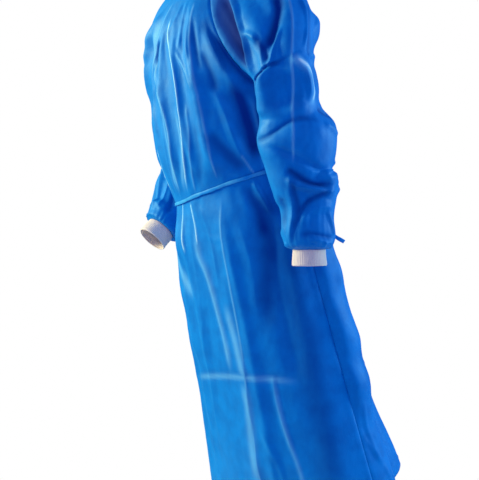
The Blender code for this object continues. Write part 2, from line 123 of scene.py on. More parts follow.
# Curves of the raglan seams and of the shoulder crests, as Bezier control points
UNDERARM = (0.205, -0.02, -0.285)
FRONT_SEAM = ((0.0689, -0.0413, -0.0424), (0.115, -0.125, -0.13), (0.215, -0.125, -0.27), UNDERARM)
BACK_SEAM = ((0.0689, 0.0282, -0.0076), (0.118, 0.112, -0.09), (0.215, 0.09, -0.23), UNDERARM)
FRONT_MIDDLE = ((0.0, -0.088, -0.062), (0.0, -0.13, -0.11), (0.0, -0.158, -0.2), (0.0, -0.156, -0.285))
BACK_MIDDLE = ((0.0, 0.06, 0.012), (0.0, 0.1, -0.03), (0.0, 0.128, -0.14), (0.0, 0.13, -0.285))
LEFT_CREST = ((0.078, 0.0, -0.025), (0.17, 0.012, -0.02), (0.318, 0.006, -0.06), (0.346, -0.071, -0.24))
RIGHT_CREST = ((-0.078, 0.0, -0.025), (-0.165, 0.014, -0.02), (-0.306, 0.05, -0.06), (-0.33, 0.095, -0.235))

# The largest folds of the body: degrees and z of the top, the same of the low end, half width and height.
# 0 degrees is the front, 90 the wearer's left and 180 the back.
FOLDS = (
    (52, -0.11, 66, -0.45, 0.02, 0.01),
    (73, -0.29, 77, -0.48, 0.024, -0.014),
    (24, -0.09, 29, -0.48, 0.012, 0.006),
    (8, -0.08, 14, -0.49, 0.011, 0.005),
    (-8, -0.08, -6, -0.49, 0.012, 0.006),
    (-26, -0.08, -28, -0.49, 0.014, 0.006),
    (-56, -0.12, -64, -0.48, 0.02, 0.002),
    (27, -0.5, 27, -1.25, 0.012, 0.006),
    (58, -0.52, 54, -0.96, 0.024, -0.012),
    (70, -0.56, 62, -1.25, 0.032, 0.01),
    (108, -0.64, 108, -1.25, 0.045, 0.008),
    (132, -0.78, 121.5, -1.25, 0.022, -0.02),
    (-20, -0.52, -12, -0.9, 0.014, 0.006),
    (-46, -0.54, -40, -1.25, 0.024, 0.008),
    (-74, -0.56, -70, -1.25, 0.03, -0.012),
    (-100, -0.6, -104, -1.25, 0.045, 0.014),
    (-132, -0.66, -138, -1.25, 0.03, -0.014),
    (150, -0.56, 146, -1.25, 0.034, 0.012),
    (203, -0.52, 212, -1.25, 0.032, 0.012),
    (116, -0.2, 122, -0.45, 0.018, 0.008),
    (142, -0.1, 150, -0.44, 0.018, 0.007),
    (208, -0.1, 200, -0.44, 0.018, 0.007),
    (236, -0.2, 232, -0.44, 0.02, 0.008),
)

# Stations down the sleeves from the underarm ring to the wrist: the ring's middle, and its half widths
# outward and rearward
LEFT_STATIONS = (
    (0.2755, -0.0455, -0.262, 0.075, 0.074),
    (0.2765, -0.045, -0.302, 0.068, 0.068),
    (0.278, -0.045, -0.345, 0.064, 0.064),
    (0.283, -0.039, -0.392, 0.071, 0.086),
    (0.284, -0.043, -0.455, 0.066, 0.075),
    (0.284, -0.05, -0.49, 0.058, 0.06),
    (0.286, -0.032, -0.52, 0.06, 0.07),
    (0.287, -0.04, -0.552, 0.053, 0.055),
    (0.288, -0.0455, -0.585, 0.053, 0.056),
    (0.2893, -0.047, -0.614, 0.053, 0.0545),
)
RIGHT_STATIONS = (
    (-0.2675, 0.0375, -0.26, 0.075, 0.074),
    (-0.272, 0.049, -0.308, 0.069, 0.072),
    (-0.275, 0.062, -0.35, 0.068, 0.07),
    (-0.273, 0.07, -0.39, 0.069, 0.075),
    (-0.267, 0.063, -0.428, 0.064, 0.072),
    (-0.26, 0.04, -0.466, 0.06, 0.064),
    (-0.252, 0.0, -0.508, 0.061, 0.068),
    (-0.235, -0.04, -0.546, 0.053, 0.058),
    (-0.2279, -0.0674, -0.5723, 0.049, 0.052),
)
# Half width of the yoke at shares of the way from the neckline to the underarm, left and right
YOKE = (
    (0.0, 0.0348, 0.0348),
    (0.25, 0.085, 0.078),
    (0.5, 0.101, 0.088),
    (0.75, 0.096, 0.084),
    (1.0, 0.074, 0.074),
)
# The largest folds of the sleeves, as those of the body, with stations in place of z
SLEEVE_FOLDS = (
    (66, -0.72, 78, -0.05, 0.024, 0.018),
    (-40, -1.0, -20, 2.2, 0.02, -0.012),
    (-75, -0.8, -95, 1.6, 0.016, -0.009),
    (30, -0.6, 8, 1.8, 0.02, 0.008),
    (-60, 3.2, 40, 4.6, 0.014, -0.007),
    (-20, 4.6, -6, 8.6, 0.012, -0.006),
    (120, 0.4, 150, 4.0, 0.022, 0.008),
    (-130, 1.0, -150, 5.0, 0.022, 0.007),
)
LEFT_CUFF = ((0.29, -0.0506, -0.6345, 0.0345), (0.29, -0.056, -0.668, 0.0372))
RIGHT_CUFF = ((-0.229, -0.085, -0.5855, 0.035), (-0.2308, -0.113, -0.6064, 0.0368))

# Knot of the waist tie, and its two free ends as (left, back, up) from the knot's middle
KNOT_DEGREES = 171.0
KNOT_RADII = (0.013, 0.006, 0.009)
TAIL_WIDTH = 0.01
TAIL_TURN = math.radians(65)
LEFT_TAIL = (
    (0.0052, 0.001, -0.0093),
    (0.007, 0.006, -0.023),
    (0.01, 0.022, -0.06),
    (0.016, 0.03, -0.11),
    (0.022, 0.042, -0.154),
    (0.029, 0.066, -0.182),
    (0.035, 0.088, -0.2),
)
RIGHT_TAIL = (
    (-0.0052, 0.001, -0.0093),
    (-0.009, 0.006, -0.023),
    (-0.026, 0.018, -0.07),
    (-0.034, 0.028, -0.13),
    (-0.04, 0.038, -0.19),
    (-0.044, 0.044, -0.23),
)

# Creases of the body, in millimetres. A row has a path of (degrees, z) and the forms that lie along it, as
# (half width, height, shape); the shapes are in CREASE_SHAPES. A lip is raised on the wearer's left of a
# path that runs down.
FRONT_CREASES = (
    # Fullness of the chest and the skirt as the photograph shows it
    (((-30, -135), (-37, -200), (-36, -260), (-33, -330)), (50, -18.5, "broad")),
    (((-30, -85), (-40, -110), (-49, -135), (-52, -170), (-50, -205)), (28, 13, "broad")),
    (((-35, -530), (-35, -640), (-35, -780), (-35, -1000)), (80, 10.5, "broad")),
    # The pressed edge left of the middle, from the neck to the tie and on to the hem
    (((38, -70), (34, -118), (31, -167), (29, -215), (28, -290)), (26, 6.5, "roof")),
    (((28, -200), (29, -300), (31, -390), (29, -482)), (50, 11, "roof")),
    (((29, -500), (23, -620), (21, -740), (20, -900), (18, -1130), (18, -1300)), (60, 9.5, "roof")),
    (((38, -80), (32, -130), (29, -246), (31, -390), (29, -482)), (4, 1.2, "pressed")),
    (((29, -500), (23, -626), (20, -900), (18, -1130), (18, -1300)), (4, 1.2, "pressed")),
    # Creases that run together at the tie
    (((-16, -190), (-13, -237), (-5, -320), (-6, -418), (-16, -508)), (18, 5, "roof"), (4, 1.6, "pressed")),
    (
        ((-2, -100), (2, -150), (10, -212), (11, -316), (6, -420), (-5, -508)),
        (20, 5.5, "roof"), (4, 2, "pressed"),
    ),
    (((17, -290), (15, -384), (4, -506)), (9, 3, "roof"), (3, 1, "pressed")),
    (((-14, -330), (-17, -420), (-20, -508)), (7, 2.4, "roof")),
    (((22, -330), (20, -420), (10, -495)), (9, -2.5, "soft")),
    # The diagonal hollow towards the side, and what lies above and below it
    (((31, -360), (40, -410), (54, -462)), (16, -6, "soft")),
    (((40, -270), (46, -330), (51, -400), (56, -460)), (16, 8, "roof")),
    (((38, -455), (46, -462), (57, -470)), (10, 3.5, "roof")),
    (((57, -250), (60, -329), (62, -382), (63, -450)), (20, -11, "soft")),
    (((52, -420), (57, -452), (60, -468)), (4, 1.2, "pressed")),
    (((57, -478), (60, -520), (63, -565)), (10, 7.5, "roof")),
    (((50, -485), (53, -540), (52, -620)), (12, -5, "soft")),
    # The hollow between the chest and the arm
    (((70, -150), (74, -200), (78, -250), (80, -290)), (16, -8, "soft")),
    (((52, -110), (54, -170), (58, -220), (60, -265)), (16, -4.5, "soft")),
    (((41, -190), (43, -240), (41, -290)), (10, -5, "soft")),
    # Painted highlight where the chest turns away: sheen marks that make the cloth paler
    (((-20, -100), (-22, -160), (-18, -220)), (14, 1.1, "sheen")),
    (((-10, -240), (-9, -330), (-10, -420), (-18, -500)), (10, 1.2, "sheen")),
    (((4, -300), (6, -400), (-8, -500)), (6, 1.1, "sheen")),
    # Small creases of the chest
    (((-9, -70), (-13, -153), (-24, -232)), (11, 4.2, "roof"), (3, 1.2, "pressed")),
    (((31, -85), (28, -150), (26, -212)), (8, 3.6, "roof")),
    (((15, -80), (8, -115), (0, -150)), (8, 3.4, "roof")),
    (((23, -75), (19, -125), (14, -190)), (7, 3.2, "roof")),
    (((12, -180), (20, -225), (26, -275)), (7, 3, "roof"), (3, 1, "pressed")),
    (((-8, -150), (-15, -186), (-12, -230)), (5, -4, "soft")),
    (((-3, -120), (-3, -160), (0, -215), (-1, -260)), (6, -2, "soft")),
    (((22, -110), (20, -150), (20, -200)), (6, -2.8, "soft")),
    (((36, -110), (35, -180), (34, -240)), (7, -4, "soft")),
    (((-14, -229), (-9, -262), (-14, -331)), (7, 2.6, "roof")),
    (((-20, -240), (-25, -300), (-22, -380)), (8, 2.6, "roof")),
    # Below the tie
    # The sheen forms below the tie are painted highlights: pale strokes on the skirt
    (
        ((-3, -560), (-3, -636), (2, -689), (6, -787), (8, -862), (8, -910)),
        (18, 3.4, "roof"), (8, 1.2, "sheen"),
    ),
    (((14, -740), (17, -850), (19, -930)), (10, 1.2, "sheen")),
    (((17, -915), (18, -985), (16, -1070), (16, -1180)), (12, 1.1, "sheen")),
    (((-40, -600), (-38, -660), (-26, -700), (-15, -740)), (14, 1.2, "sheen")),
    (((-41, -942), (-20, -927), (0, -918), (20, -914), (38, -920), (56, -929)), (6, 1.2, "sheen")),
    (((38, -900), (38, -1003), (42, -1115), (44, -1200)), (5, 1, "sheen")),
    (((58, -620), (57, -750), (56, -900)), (24, 6, "broad")),
    (((67, -640), (65, -850), (63, -1100)), (32, -5.5, "broad")),
    (((-6, -515), (-8, -600), (-10, -740), (-16, -973), (-16, -1155)), (22, 4, "roof")),
    (((6, -520), (10, -560), (12, -620), (11, -720)), (10, 2.8, "roof")),
    (((-16, -515), (-17, -560), (-16, -640)), (6, 2.4, "pressed")),
    (((-4, -515), (-2, -560), (-3, -620)), (6, 2, "pressed")),
    (((19, -690), (20, -780), (21, -903)), (5, -1.6, "soft")),
    (((64, -490), (60, -560), (53, -640), (46, -730), (42, -830)), (24, -6.6, "soft")),
    (((38, -560), (40, -660), (36, -790)), (20, 3.5, "roof")),
    (((38, -895), (37, -985), (42, -1105)), (10, 3, "roof")),
    (((6, -588), (16, -604), (26, -596)), (8, 1.4, "roof")),
    (((-41, -938), (-15, -920), (11, -911), (40, -912), (60, -924)), (9, -1.6, "soft")),
    (((68, -560), (66, -740), (63, -960), (61, -1300)), (34, -4.5, "soft")),
    (((22, -1010), (30, -1100), (33, -1220)), (10, 2.8, "roof")),
    # The side that the photograph hides
    (((-46, -120), (-52, -230), (-50, -350), (-44, -490)), (26, 5, "roof")),
    (((-44, -110), (-50, -200), (-58, -290)), (9, 3.4, "lip")),
    (((-40, -300), (-46, -400), (-54, -490)), (12, 4, "roof")),
    (((-38, -330), (-36, -420), (-30, -500)), (6, 2.4, "pressed")),
    (((-66, -300), (-68, -380), (-62, -490)), (12, -4.5, "soft")),
    (((-29, -530), (-28, -700), (-27, -900), (-26, -1300)), (36, 6.5, "roof")),
    (((-52, -560), (-50, -700), (-56, -860)), (14, -5, "soft")),
    (((-60, -900), (-56, -1050), (-58, -1280)), (16, 4.5, "roof")),
    (((-76, -540), (-80, -660), (-78, -800)), (12, 4, "soft")),
)
BACK_CREASES = (
    (((112, -560), (111, -700), (108, -860), (104, -1060)), (80, 17, "broad")),
    (((152, -90), (150, -200), (151, -330), (154, -455)), (13, 4.5, "fold")),
    (((210, -90), (208, -210), (209, -340), (206, -470)), (13, 4.5, "fold")),
    (((128, -150), (126, -280), (132, -440)), (10, 3.5, "soft")),
    (((170, -120), (176, -240), (172, -400)), (8, 2.8, "fold")),
    (((232, -150), (226, -270), (222, -440)), (10, 3.5, "soft")),
    (((104, -300), (110, -380), (120, -452)), (9, 3, "lip")),
    (((256, -310), (250, -390), (240, -480)), (9, 3, "soft")),
    (((190, -300), (186, -380), (178, -455)), (6, 2.5, "fold")),
    (((153, -490), (152, -650), (150, -850), (149, -1280)), (17, 5, "fold")),
    (((207, -500), (209, -650), (211, -900), (212, -1280)), (17, 5, "fold")),
    (((176, -500), (178, -640), (174, -820), (172, -1000)), (12, -3, "soft")),
    (((92, -925), (130, -915), (175, -910), (225, -915), (268, -935)), (6, 1.6, "roof")),
    (((120, -600), (150, -597), (190, -603)), (5, 1.6, "fold")),
    (((110, -530), (112, -650), (108, -780)), (12, 3.5, "soft")),
    (((100, -990), (98, -1060), (103, -1150)), (8, 3, "roof")),
    (((90, -1060), (97, -1100), (103, -1150)), (7, 2.4, "roof")),
    (((103, -1140), (106, -1180), (110, -1230)), (8, 3, "roof")),
    (((115, -860), (112, -960), (116, -1080)), (10, -3, "soft")),
    (((250, -540), (246, -700), (252, -860)), (13, 4, "soft")),
    (((238, -620), (234, -780), (240, -960)), (12, -3.5, "soft")),
    (((194, -930), (190, -1060), (193, -1200)), (9, 2.8, "fold")),
    (((134, -620), (137, -740), (133, -860)), (9, 2.8, "fold")),
)
# Creases of the sleeves, in the same way. A path is a run of (degrees, station): 0 is the outer side, -90
# the front; a station below 0 is above the underarm.
LEFT_SLEEVE_CREASES = (
    # The pressed edge down the outer side
    (
        ((2, -0.7), (0, -0.28), (-4, 0.3), (-6, 0.94), (-14, 2.2), (-20, 3.2), (-27, 4.2)),
        (30, 5, "roof"), (3, 1.3, "pressed"),
    ),
    # The bright fold below the shoulder, with its lip towards the front; the sheen along it is a painted
    # highlight
    (((-4, 0.06), (12, 0.5), (27, 0.9), (33, 1.5), (30, 2.1)), (8, 1.9, "sheen")),
    (((23, 1.9), (17, 0.91), (6, 0.55), (-5, 0)), (20, 9, "lip")),
    (((50, 0.1), (52, 0.6), (48, 1.4)), (16, -6, "broad")),
    (((16, -0.3), (26, -0.14), (22, 0)), (8, 4.5, "roof")),
    (((30, -0.28), (31, -0.1), (38, 0.24)), (9, -4, "soft")),
    # Fullness of the shoulder and the arm as the photograph shows it
    (((70, -0.8), (68, -0.58), (67, -0.38), (67, -0.17)), (42, -24, "broad")),
    (((-66, 0.1), (-62, 1), (-66, 2.2)), (36, 13, "broad")),
    (((4, 0.2), (10, 1.2), (16, 2.4)), (30, 7, "broad")),
    (((26, 5.1), (66, 5.25), (112, 5.3)), (22, 18, "broad")),
    # The hollow against the chest, and the fuller cloth that hangs over it
    (
        ((-72, -0.92), (-74, -0.66), (-80, -0.52), (-91, -0.4), (-104, -0.27), (-110, -0.12)),
        (24, -20, "soft"),
    ),
    (((-92, -0.8), (-95, -0.56), (-102, -0.45), (-110, -0.32), (-116, -0.2)), (14, -10, "soft")),
    (((-56, -0.8), (-62, -0.54), (-69, -0.44), (-82, -0.31), (-96, -0.2), (-104, 0)), (13, 12, "roof")),
    # Dark valleys and light ridges of the front of the shoulder
    (((-14, -0.42), (-15, -0.28), (-34, -0.18), (-58, -0.1)), (14, -11, "soft")),
    (((-66, -0.24), (-58, -0.13), (-51, -0.01)), (9, -8, "soft")),
    (((-78, -0.36), (-63, -0.22), (-59, -0.06)), (9, 6, "roof")),
    (((-18, -0.18), (-36, -0.09), (-52, 0.06)), (10, 6, "roof")),
    (((-40, 0.3), (-46, 1), (-44, 2)), (10, -2, "soft")),
    (((-98, -0.1), (-104, 0.6), (-96, 1.8)), (10, -3.5, "soft")),
    # Elbow: one thin dark fold between two fuller ones
    (((-104, 3.05), (-81, 2.98), (-57, 2.87), (-20, 2.45), (2, 2.46), (30, 2.72)), (6, -5, "pressed")),
    (((-100, 2.5), (-70, 2.4), (-36, 2.05), (0, 2), (30, 2.2)), (14, 4, "soft")),
    (((-96, 3.7), (-60, 3.55), (-20, 3.25), (10, 3.15), (44, 3.25)), (26, 3.5, "soft")),
    (((30, 2.8), (49, 3.06), (70, 3.3)), (10, 4, "roof")),
    (((50, -0.16), (70, -0.13), (92, -0.1)), (26, 6, "roof")),
    (((40, 2.1), (58, 2.5), (76, 2.6)), (10, -6, "soft")),
    # The deep fold above the wrist and its lip
    (((-40, 4.2), (-30, 4.33), (-13, 4.66), (16, 5.36), (44, 5.8)), (8, -8, "pressed")),
    (((-34, 4.45), (-28, 4.85), (0, 5.4), (26, 6.05), (52, 6.15)), (12, 7.5, "roof")),
    (((-28, 4.5), (-30, 5), (-36, 5.8), (-39, 7.42), (-46, 7.9), (-60, 9.4)), (7, -6, "pressed")),
    (((-30, 4.4), (-42, 5.8), (-48, 7.3), (-56, 8.2), (-70, 9.6)), (14, 6, "roof")),
    (((-38, 7.5), (-17, 6.45), (13, 6.1), (30, 6.2)), (7, -6, "pressed")),
    (((-34, 8.1), (-10, 7.2), (20, 6.9), (50, 7.1)), (14, 5.5, "roof")),
    (((-36, 8.7), (-16, 8.5), (16, 8.8), (50, 9.05)), (6, -4, "pressed")),
    (((-30, 9.1), (0, 9.1), (30, 9.5), (56, 9.5)), (8, 3.5, "roof")),
    (((30, 7), (46, 8), (50, 8.9)), (8, 4, "roof")),
    (((-66, 5.2), (-72, 6.6), (-86, 8.2)), (12, -4.5, "soft")),
    (((-10, 9.4), (-14, 9.9), (-20, 10.4)), (5, 2.2, "soft")),
    (((20, 9.4), (22, 9.9), (16, 10.5)), (5, 2.2, "soft")),
    (((-84, 9), (-88, 9.7), (-84, 10.4)), (6, 2.5, "soft")),
    # The sides that the photograph hides
    (((96, 0.4), (110, 1.6), (104, 2.9)), (12, -5.5, "soft")),
    (((84, 0.2), (90, 1.4), (86, 2.4)), (16, 5.5, "roof")),
    (((76, 3.2), (110, 3.5), (150, 3.2)), (7, -6, "pressed")),
    (((70, 4), (110, 4.1), (146, 3.8)), (12, 5.5, "roof")),
    (((60, 5.7), (96, 5.4), (140, 5)), (7, -6, "pressed")),
    (((60, 6.3), (100, 6.1), (140, 5.8)), (12, 5.5, "roof")),
    (((84, 7.6), (116, 7.2), (156, 6.6)), (8, 4.5, "roof")),
    (((100, 8), (96, 9), (110, 10.2)), (8, 3.5, "soft")),
    (((-120, 4), (-140, 5.2), (-132, 6.6)), (12, 5, "roof")),
    (((-160, 1), (-168, 2.2), (-160, 3.4)), (12, 4.5, "roof")),
    (((-110, 8), (-126, 9), (-118, 10.2)), (7, 3, "soft")),
    (((160, 8.4), (170, 9.4), (164, 10.4)), (7, 3, "soft")),
)
RIGHT_SLEEVE_CREASES = (
    (((-118, 5.4), (-113, 6.1), (-107, 6.9), (-103, 7.5)), (34, -11, "broad")),
    (((4, -0.6), (0, -0.2), (-4, 0.6), (-10, 2), (-8, 3.2)), (12, 4, "fold")),
    (((-30, -0.4), (-44, -0.1), (-60, 0.5)), (10, -5.5, "soft")),
    (((-70, -0.3), (-84, 0.1), (-96, 0.9)), (10, 5, "lip")),
    (((-50, 0.8), (-58, 1.8), (-52, 2.7)), (10, -4, "soft")),
    (((-100, 3.2), (-70, 3.6), (-34, 3.4), (0, 3)), (11, -6.5, "soft")),
    (((-90, 4.1), (-60, 4.5), (-28, 4.2)), (9, 4.5, "fold")),
    (((-130, 3.9), (-112, 4.8), (-104, 5.8)), (10, -5, "soft")),
    (((-76, 5), (-90, 6), (-96, 7), (-100, 8.2)), (9, 5, "lip")),
    (((-118, 5.4), (-126, 6.6), (-120, 8)), (7, 4, "fold")),
    (((-140, 6), (-152, 7), (-150, 8.3)), (8, -4.5, "soft")),
    (((-60, 6.1), (-76, 7.2), (-70, 8.6)), (8, -4, "soft")),
    (((-106, 7.4), (-128, 7.9), (-150, 7.7)), (6, 3, "fold")),
    (((24, 4.4), (40, 5.2), (30, 6.4)), (10, 5, "soft")),
    (((60, 2.6), (80, 3.4), (110, 3.8)), (12, 5.5, "lip")),
    (((50, 0.2), (66, 1.2), (60, 2.2)), (12, -4.5, "soft")),
    (((100, 0.4), (120, 1.6), (116, 3)), (10, 4.5, "soft")),
    (((90, 4.8), (120, 5.4), (160, 5.2)), (9, -4.5, "soft")),
    (((40, 6.8), (60, 7.6), (50, 9)), (8, 4, "fold")),
    (((150, 6.2), (164, 7.4), (158, 8.8)), (8, 4, "soft")),
    (((-20, 7), (-8, 8), (-14, 9.2)), (8, 3.5, "soft")),
    (((166, 1.2), (172, 2.4), (168, 3.6)), (10, 4, "soft")),
)

# How sharp a pressed edge is, and how much of a crease's length fades at each end
CREASE_ROUND = 0.0016
CREASE_FADE = 0.22
CREASE_SAMPLES = 6
# Half width of the pale mark along a sharp edge, where the pressed fibres have whitened and a highlight is
# painted
MARK_WIDTH = 0.0022
# Height of a sharp edge from which its mark is fully pale
MARK_HEIGHT = 0.0019
# Depth of a crease at which its painted shade is full; deeper ones are painted darker still
HOLLOW_DEPTH = 0.01
# Shapes whose crests are painted pale: pressed edges, with whitened fibres and a painted highlight, and
# sheens, which are a painted highlight alone
PALE_SHAPES = ("pressed", "sheen")


def bell(x):
    return np.exp(-(x**2))


def through(x, knots, rows):
    """A smooth curve through rows, one for each of the knots, with slopes worked out from the neighbours."""
    rows = np.asarray(rows, float)
    x = np.clip(x, knots[0], knots[-1])
    slopes = np.gradient(rows, knots, axis=0)
    i = np.clip(np.searchsorted(knots, x, side="right") - 1, 0, len(knots) - 2)
    step = knots[i + 1] - knots[i]
    t = (x - knots[i]) / step
    if rows.ndim > 1:
        step, t = step[..., None], t[..., None]
    return (
        rows[i] * (1 + 2 * t) * (1 - t) ** 2
        + slopes[i] * step * t * (1 - t) ** 2
        + rows[i + 1] * t**2 * (3 - 2 * t)
        + slopes[i + 1] * step * t**2 * (t - 1)
    )


def along_rows(place, rows):
    """The same curve, where the rows are one apart."""
    return through(place, np.arange(len(rows), dtype=float), rows)


def bezier(points, t):
    p = np.array(points, float)
    t = np.asarray(t, float)[..., None]
    return p[0] * (1 - t) ** 3 + 3 * p[1] * t * (1 - t) ** 2 + 3 * p[2] * t**2 * (1 - t) + p[3] * t**3


def eased(t):
    t = np.clip(t, 0.0, 1.0)
    return t * t * (3 - 2 * t)


def unit(v):
    return v / np.maximum(np.linalg.norm(v, axis=-1, keepdims=True), 1e-12)


def ring(degrees):
    """Places on a unit circle, so that noise joins up round the gown."""
    return np.stack([np.sin(np.radians(degrees)), np.cos(np.radians(degrees))], -1)


def waves(points, size, seed, count=14):
    """Smooth noise about -1 to 1, from sine waves of about that size in random directions."""
    rng = np.random.default_rng(seed)
    total = np.zeros(points.shape[:-1])
    for direction in unit(rng.normal(size=(count, points.shape[-1]))):
        wave_number = 2 * math.pi / (size * rng.uniform(0.7, 1.6))
        total += np.sin(points @ direction * wave_number + rng.uniform(0, 6.3))
    return total / math.sqrt(count)


def fold_height(table, degrees, along, metres_per_degree):
    """Height of the folds of a table at an angle and a place along the piece. Each fades at both ends."""
    total = np.zeros(np.broadcast(degrees, along).shape)
    for top_degrees, top, low_degrees, low, half_width, height in table:
        t = (along - top) / (low - top)
        middle = top_degrees + np.clip(t, 0, 1) * (low_degrees - top_degrees)
        off = ((degrees - middle + 180) % 360 - 180) * metres_per_degree
        fade = eased(t / FOLD_FADE) * eased((1 - t) / FOLD_FADE + (low <= HEM_Z) * 1.0)
        total += height * fade * bell(off / half_width)
    return total


def belt_z(degrees):
    """The height of the waist tie, which lies lower in front and to the wearer's right."""
    angle = np.radians(degrees)
    return BELT_LEVEL - 0.017 * np.cos(angle) + 0.0275 * np.sin(angle) + 0.005 * np.sin(2 * angle)


def level_z(level, degrees):
    """A level of the body is flat at the underarm and at the thigh, follows the tie near it, and rises
    to the back at the hem."""
    share = np.where(
        level > BELT_LEVEL,
        eased((UNDERARM_Z - level) / (UNDERARM_Z - BELT_LEVEL)),
        eased((level - THIGH_Z) / (BELT_LEVEL - THIGH_Z)),
    )
    first, last = HEM_RISE_DEGREES
    behind = eased((degrees - first) / HEM_RISE_EASE) * eased((last - degrees) / HEM_RISE_EASE)
    rise = behind * eased((THIGH_Z - level) / (THIGH_Z - HEM_Z)) * HEM_RISE
    return level + share * (belt_z(degrees) - BELT_LEVEL) + rise


def lower_body(side, u, level):
    """A point of the body below the underarms. side is -1 for the front and 1 for the back; u runs from
    -1 at the wearer's right side seam to 1 at the left one."""
    sections = np.array(SECTIONS)[::-1]
    values = through(level, sections[:, 0], sections[:, 1:])
    half_width, side_y, front_y, back_y = np.moveaxis(values, -1, 0)
    angle = u * math.pi / 2
    depth = np.where(side < 0, side_y - front_y, back_y - side_y)
    degrees = np.where(side < 0, 90.0 * u, 180.0 - 90.0 * u)
    x, y = half_width * np.sin(angle), side_y + side * depth * np.cos(angle)
    outward = unit(np.stack([np.sin(angle) / half_width, side * np.cos(angle) / depth, 0 * u], -1))
    return np.stack([x, y, level_z(level, degrees)], -1), outward, degrees


def upper_body(side, u, share):
    """A point of the body from the neckline (share 0) down to the underarms (share 1), between the
    raglan seams."""
    seam = bezier(FRONT_SEAM if side < 0 else BACK_SEAM, share)
    middle = bezier(FRONT_MIDDLE if side < 0 else BACK_MIDDLE, share)
    end = np.radians(NECK_SEAM_DEGREES + (90.0 - NECK_SEAM_DEGREES) * eased(share))
    angle = u * end
    round_it = (np.cos(angle) - np.cos(end)) / (1 - np.cos(end))
    x = seam[..., 0] * np.sin(angle) / np.sin(end)
    y = seam[..., 1] + (middle[..., 1] - seam[..., 1]) * round_it
    z = seam[..., 2] + (middle[..., 2] - seam[..., 2]) * round_it
    degrees = np.degrees(angle) if side < 0 else 180.0 - np.degrees(angle)
    outward = unit(np.stack([np.sin(angle), side * np.cos(angle), 0 * u], -1))
    return np.stack([x, y, z], -1), outward, degrees


def body_surface(side, u, row):
    """A point of the solid's outer face, the way out there and the angle round the body. A row from 0 to
    1 is above the underarms, and below 0 it is a level in metres."""
    u, row = np.broadcast_arrays(np.asarray(u, float), np.asarray(row, float))
    above = row >= 0
    upper = upper_body(side, u, np.where(above, row, 1.0))
    lower = lower_body(side, u, np.where(above, UNDERARM_Z, row))
    point, outward = (np.where(above[..., None], a, b) for a, b in zip(upper[:2], lower[:2]))
    degrees = np.where(above, upper[2], lower[2])
    height = fold_height(FOLDS, degrees, point[..., 2], BODY_DEGREE)
    from_seam = eased((1 - np.abs(u)) / SEAM_EASE)
    below = eased((UNDERARM_Z - point[..., 2]) / SEAM_EASE_Z)
    height = height * np.where(above, from_seam, from_seam + (1 - from_seam) * below)
    held_in = 1 - TIE_HOLDS * bell((point[..., 2] - belt_z(degrees)) / TIE_REACH)
    return point + outward * (height * held_in)[..., None], outward, degrees


def under_lap(u):
    """How far in the right back panel lies, under the left one."""
    return (CLOTH + LAP_GAP) * eased((u + LAP + LAP_EASE) / LAP_EASE)


def mirrored(points):
    return points * np.array([-1.0, 1.0, 1.0])


def sleeve_frame(stations, hand, place):
    """The middle of a sleeve's ring, and its half widths outward and rearward."""
    middle, wide, deep = np.split(along_rows(place, stations), [3, 4], -1)
    along = unit(along_rows(place + 1, stations)[..., :3] - along_rows(place - 1, stations)[..., :3])
    out = unit(ARM_OUT[hand] - along * (along @ ARM_OUT[hand])[..., None])
    back = np.cross(along, out) * -hand
    return middle, out * wide, back * deep


def sleeve_yoke(crest, hand, w, share):
    """A point of the sleeve between the neckline (share 0) and the underarm (share 1)."""
    front, back = bezier(FRONT_SEAM, share), bezier(BACK_SEAM, share)
    if hand < 0:
        front, back = mirrored(front), mirrored(back)
    top = bezier(crest, share)
    middle, half = (front + back) / 2, (back - front) / 2
    span = np.linalg.norm(half, axis=-1)
    shares, left, right = np.array(YOKE).T
    deep = through(share, shares, left if hand > 0 else right)
    deep = np.maximum(deep, span * 1.0001)
    end = math.pi - np.arcsin(span / deep)
    rearward = np.where((span > 1e-4)[..., None], half / np.maximum(span, 1e-9)[..., None], REARWARD)
    angle = w * end
    lift = (np.cos(angle) - np.cos(end)) / (1 - np.cos(end))
    point = middle + rearward * (deep * np.sin(angle))[..., None] + (top - middle) * lift[..., None]
    outward = unit(unit(top - middle) * np.cos(angle)[..., None] + rearward * np.sin(angle)[..., None])
    return point, outward, np.degrees(angle)


def sleeve_arm(stations, hand, crest, w, place):
    """A point of the sleeve from the underarm ring (place 0) down to the wrist."""
    middle, out, back = sleeve_frame(stations, hand, place)
    underarm = np.array(UNDERARM) * np.array([hand, 1.0, 1.0])
    first = np.array(crest[3])
    settled = eased(place / UNDERARM_EASE)[..., None]
    middle = (first + underarm) / 2 * (1 - settled) + middle * settled
    out = (first - underarm) / 2 * (1 - settled) + out * settled
    back = REARWARD * YOKE[-1][1] * (1 - settled) + back * settled
    angle = w * math.pi
    point = middle + out * np.cos(angle)[..., None] + back * np.sin(angle)[..., None]
    clear = ARM_CLEAR * eased(place / SLEEVE_SEAM_EASE) * eased((len(stations) - 2 - place) / 2)
    point[..., 0] += hand * clear * (1 - np.cos(angle)) / 2
    outward = unit(unit(out) * np.cos(angle)[..., None] + unit(back) * np.sin(angle)[..., None])
    return point, outward, np.degrees(angle)


def sleeve_surface(stations, crest, hand, w, row):
    """A point of a sleeve's outer face, the way out there and the angle round it. A row below 0 is above
    the underarm, -1 being the neckline, and from 0 up it is a place along the stations."""
    w, row = np.broadcast_arrays(np.asarray(w, float), np.asarray(row, float))
    above = row < 0
    yoke = sleeve_yoke(crest, hand, w, np.where(above, row + 1, 1.0))
    arm = sleeve_arm(stations, hand, crest, w, np.where(above, 0.0, row))
    point, outward = (np.where(above[..., None], a, b) for a, b in zip(yoke[:2], arm[:2]))
    degrees = np.where(above, yoke[2], arm[2])
    height = fold_height(SLEEVE_FOLDS, degrees, row, SLEEVE_DEGREE)
    from_seam = eased((1 - np.abs(w)) / SLEEVE_SEAM_EASE)
    height = height * np.where(row < 0.6, from_seam, 1.0) * eased((row + 1) / SEAM_EASE)
    return point + outward * height[..., None], outward, degrees


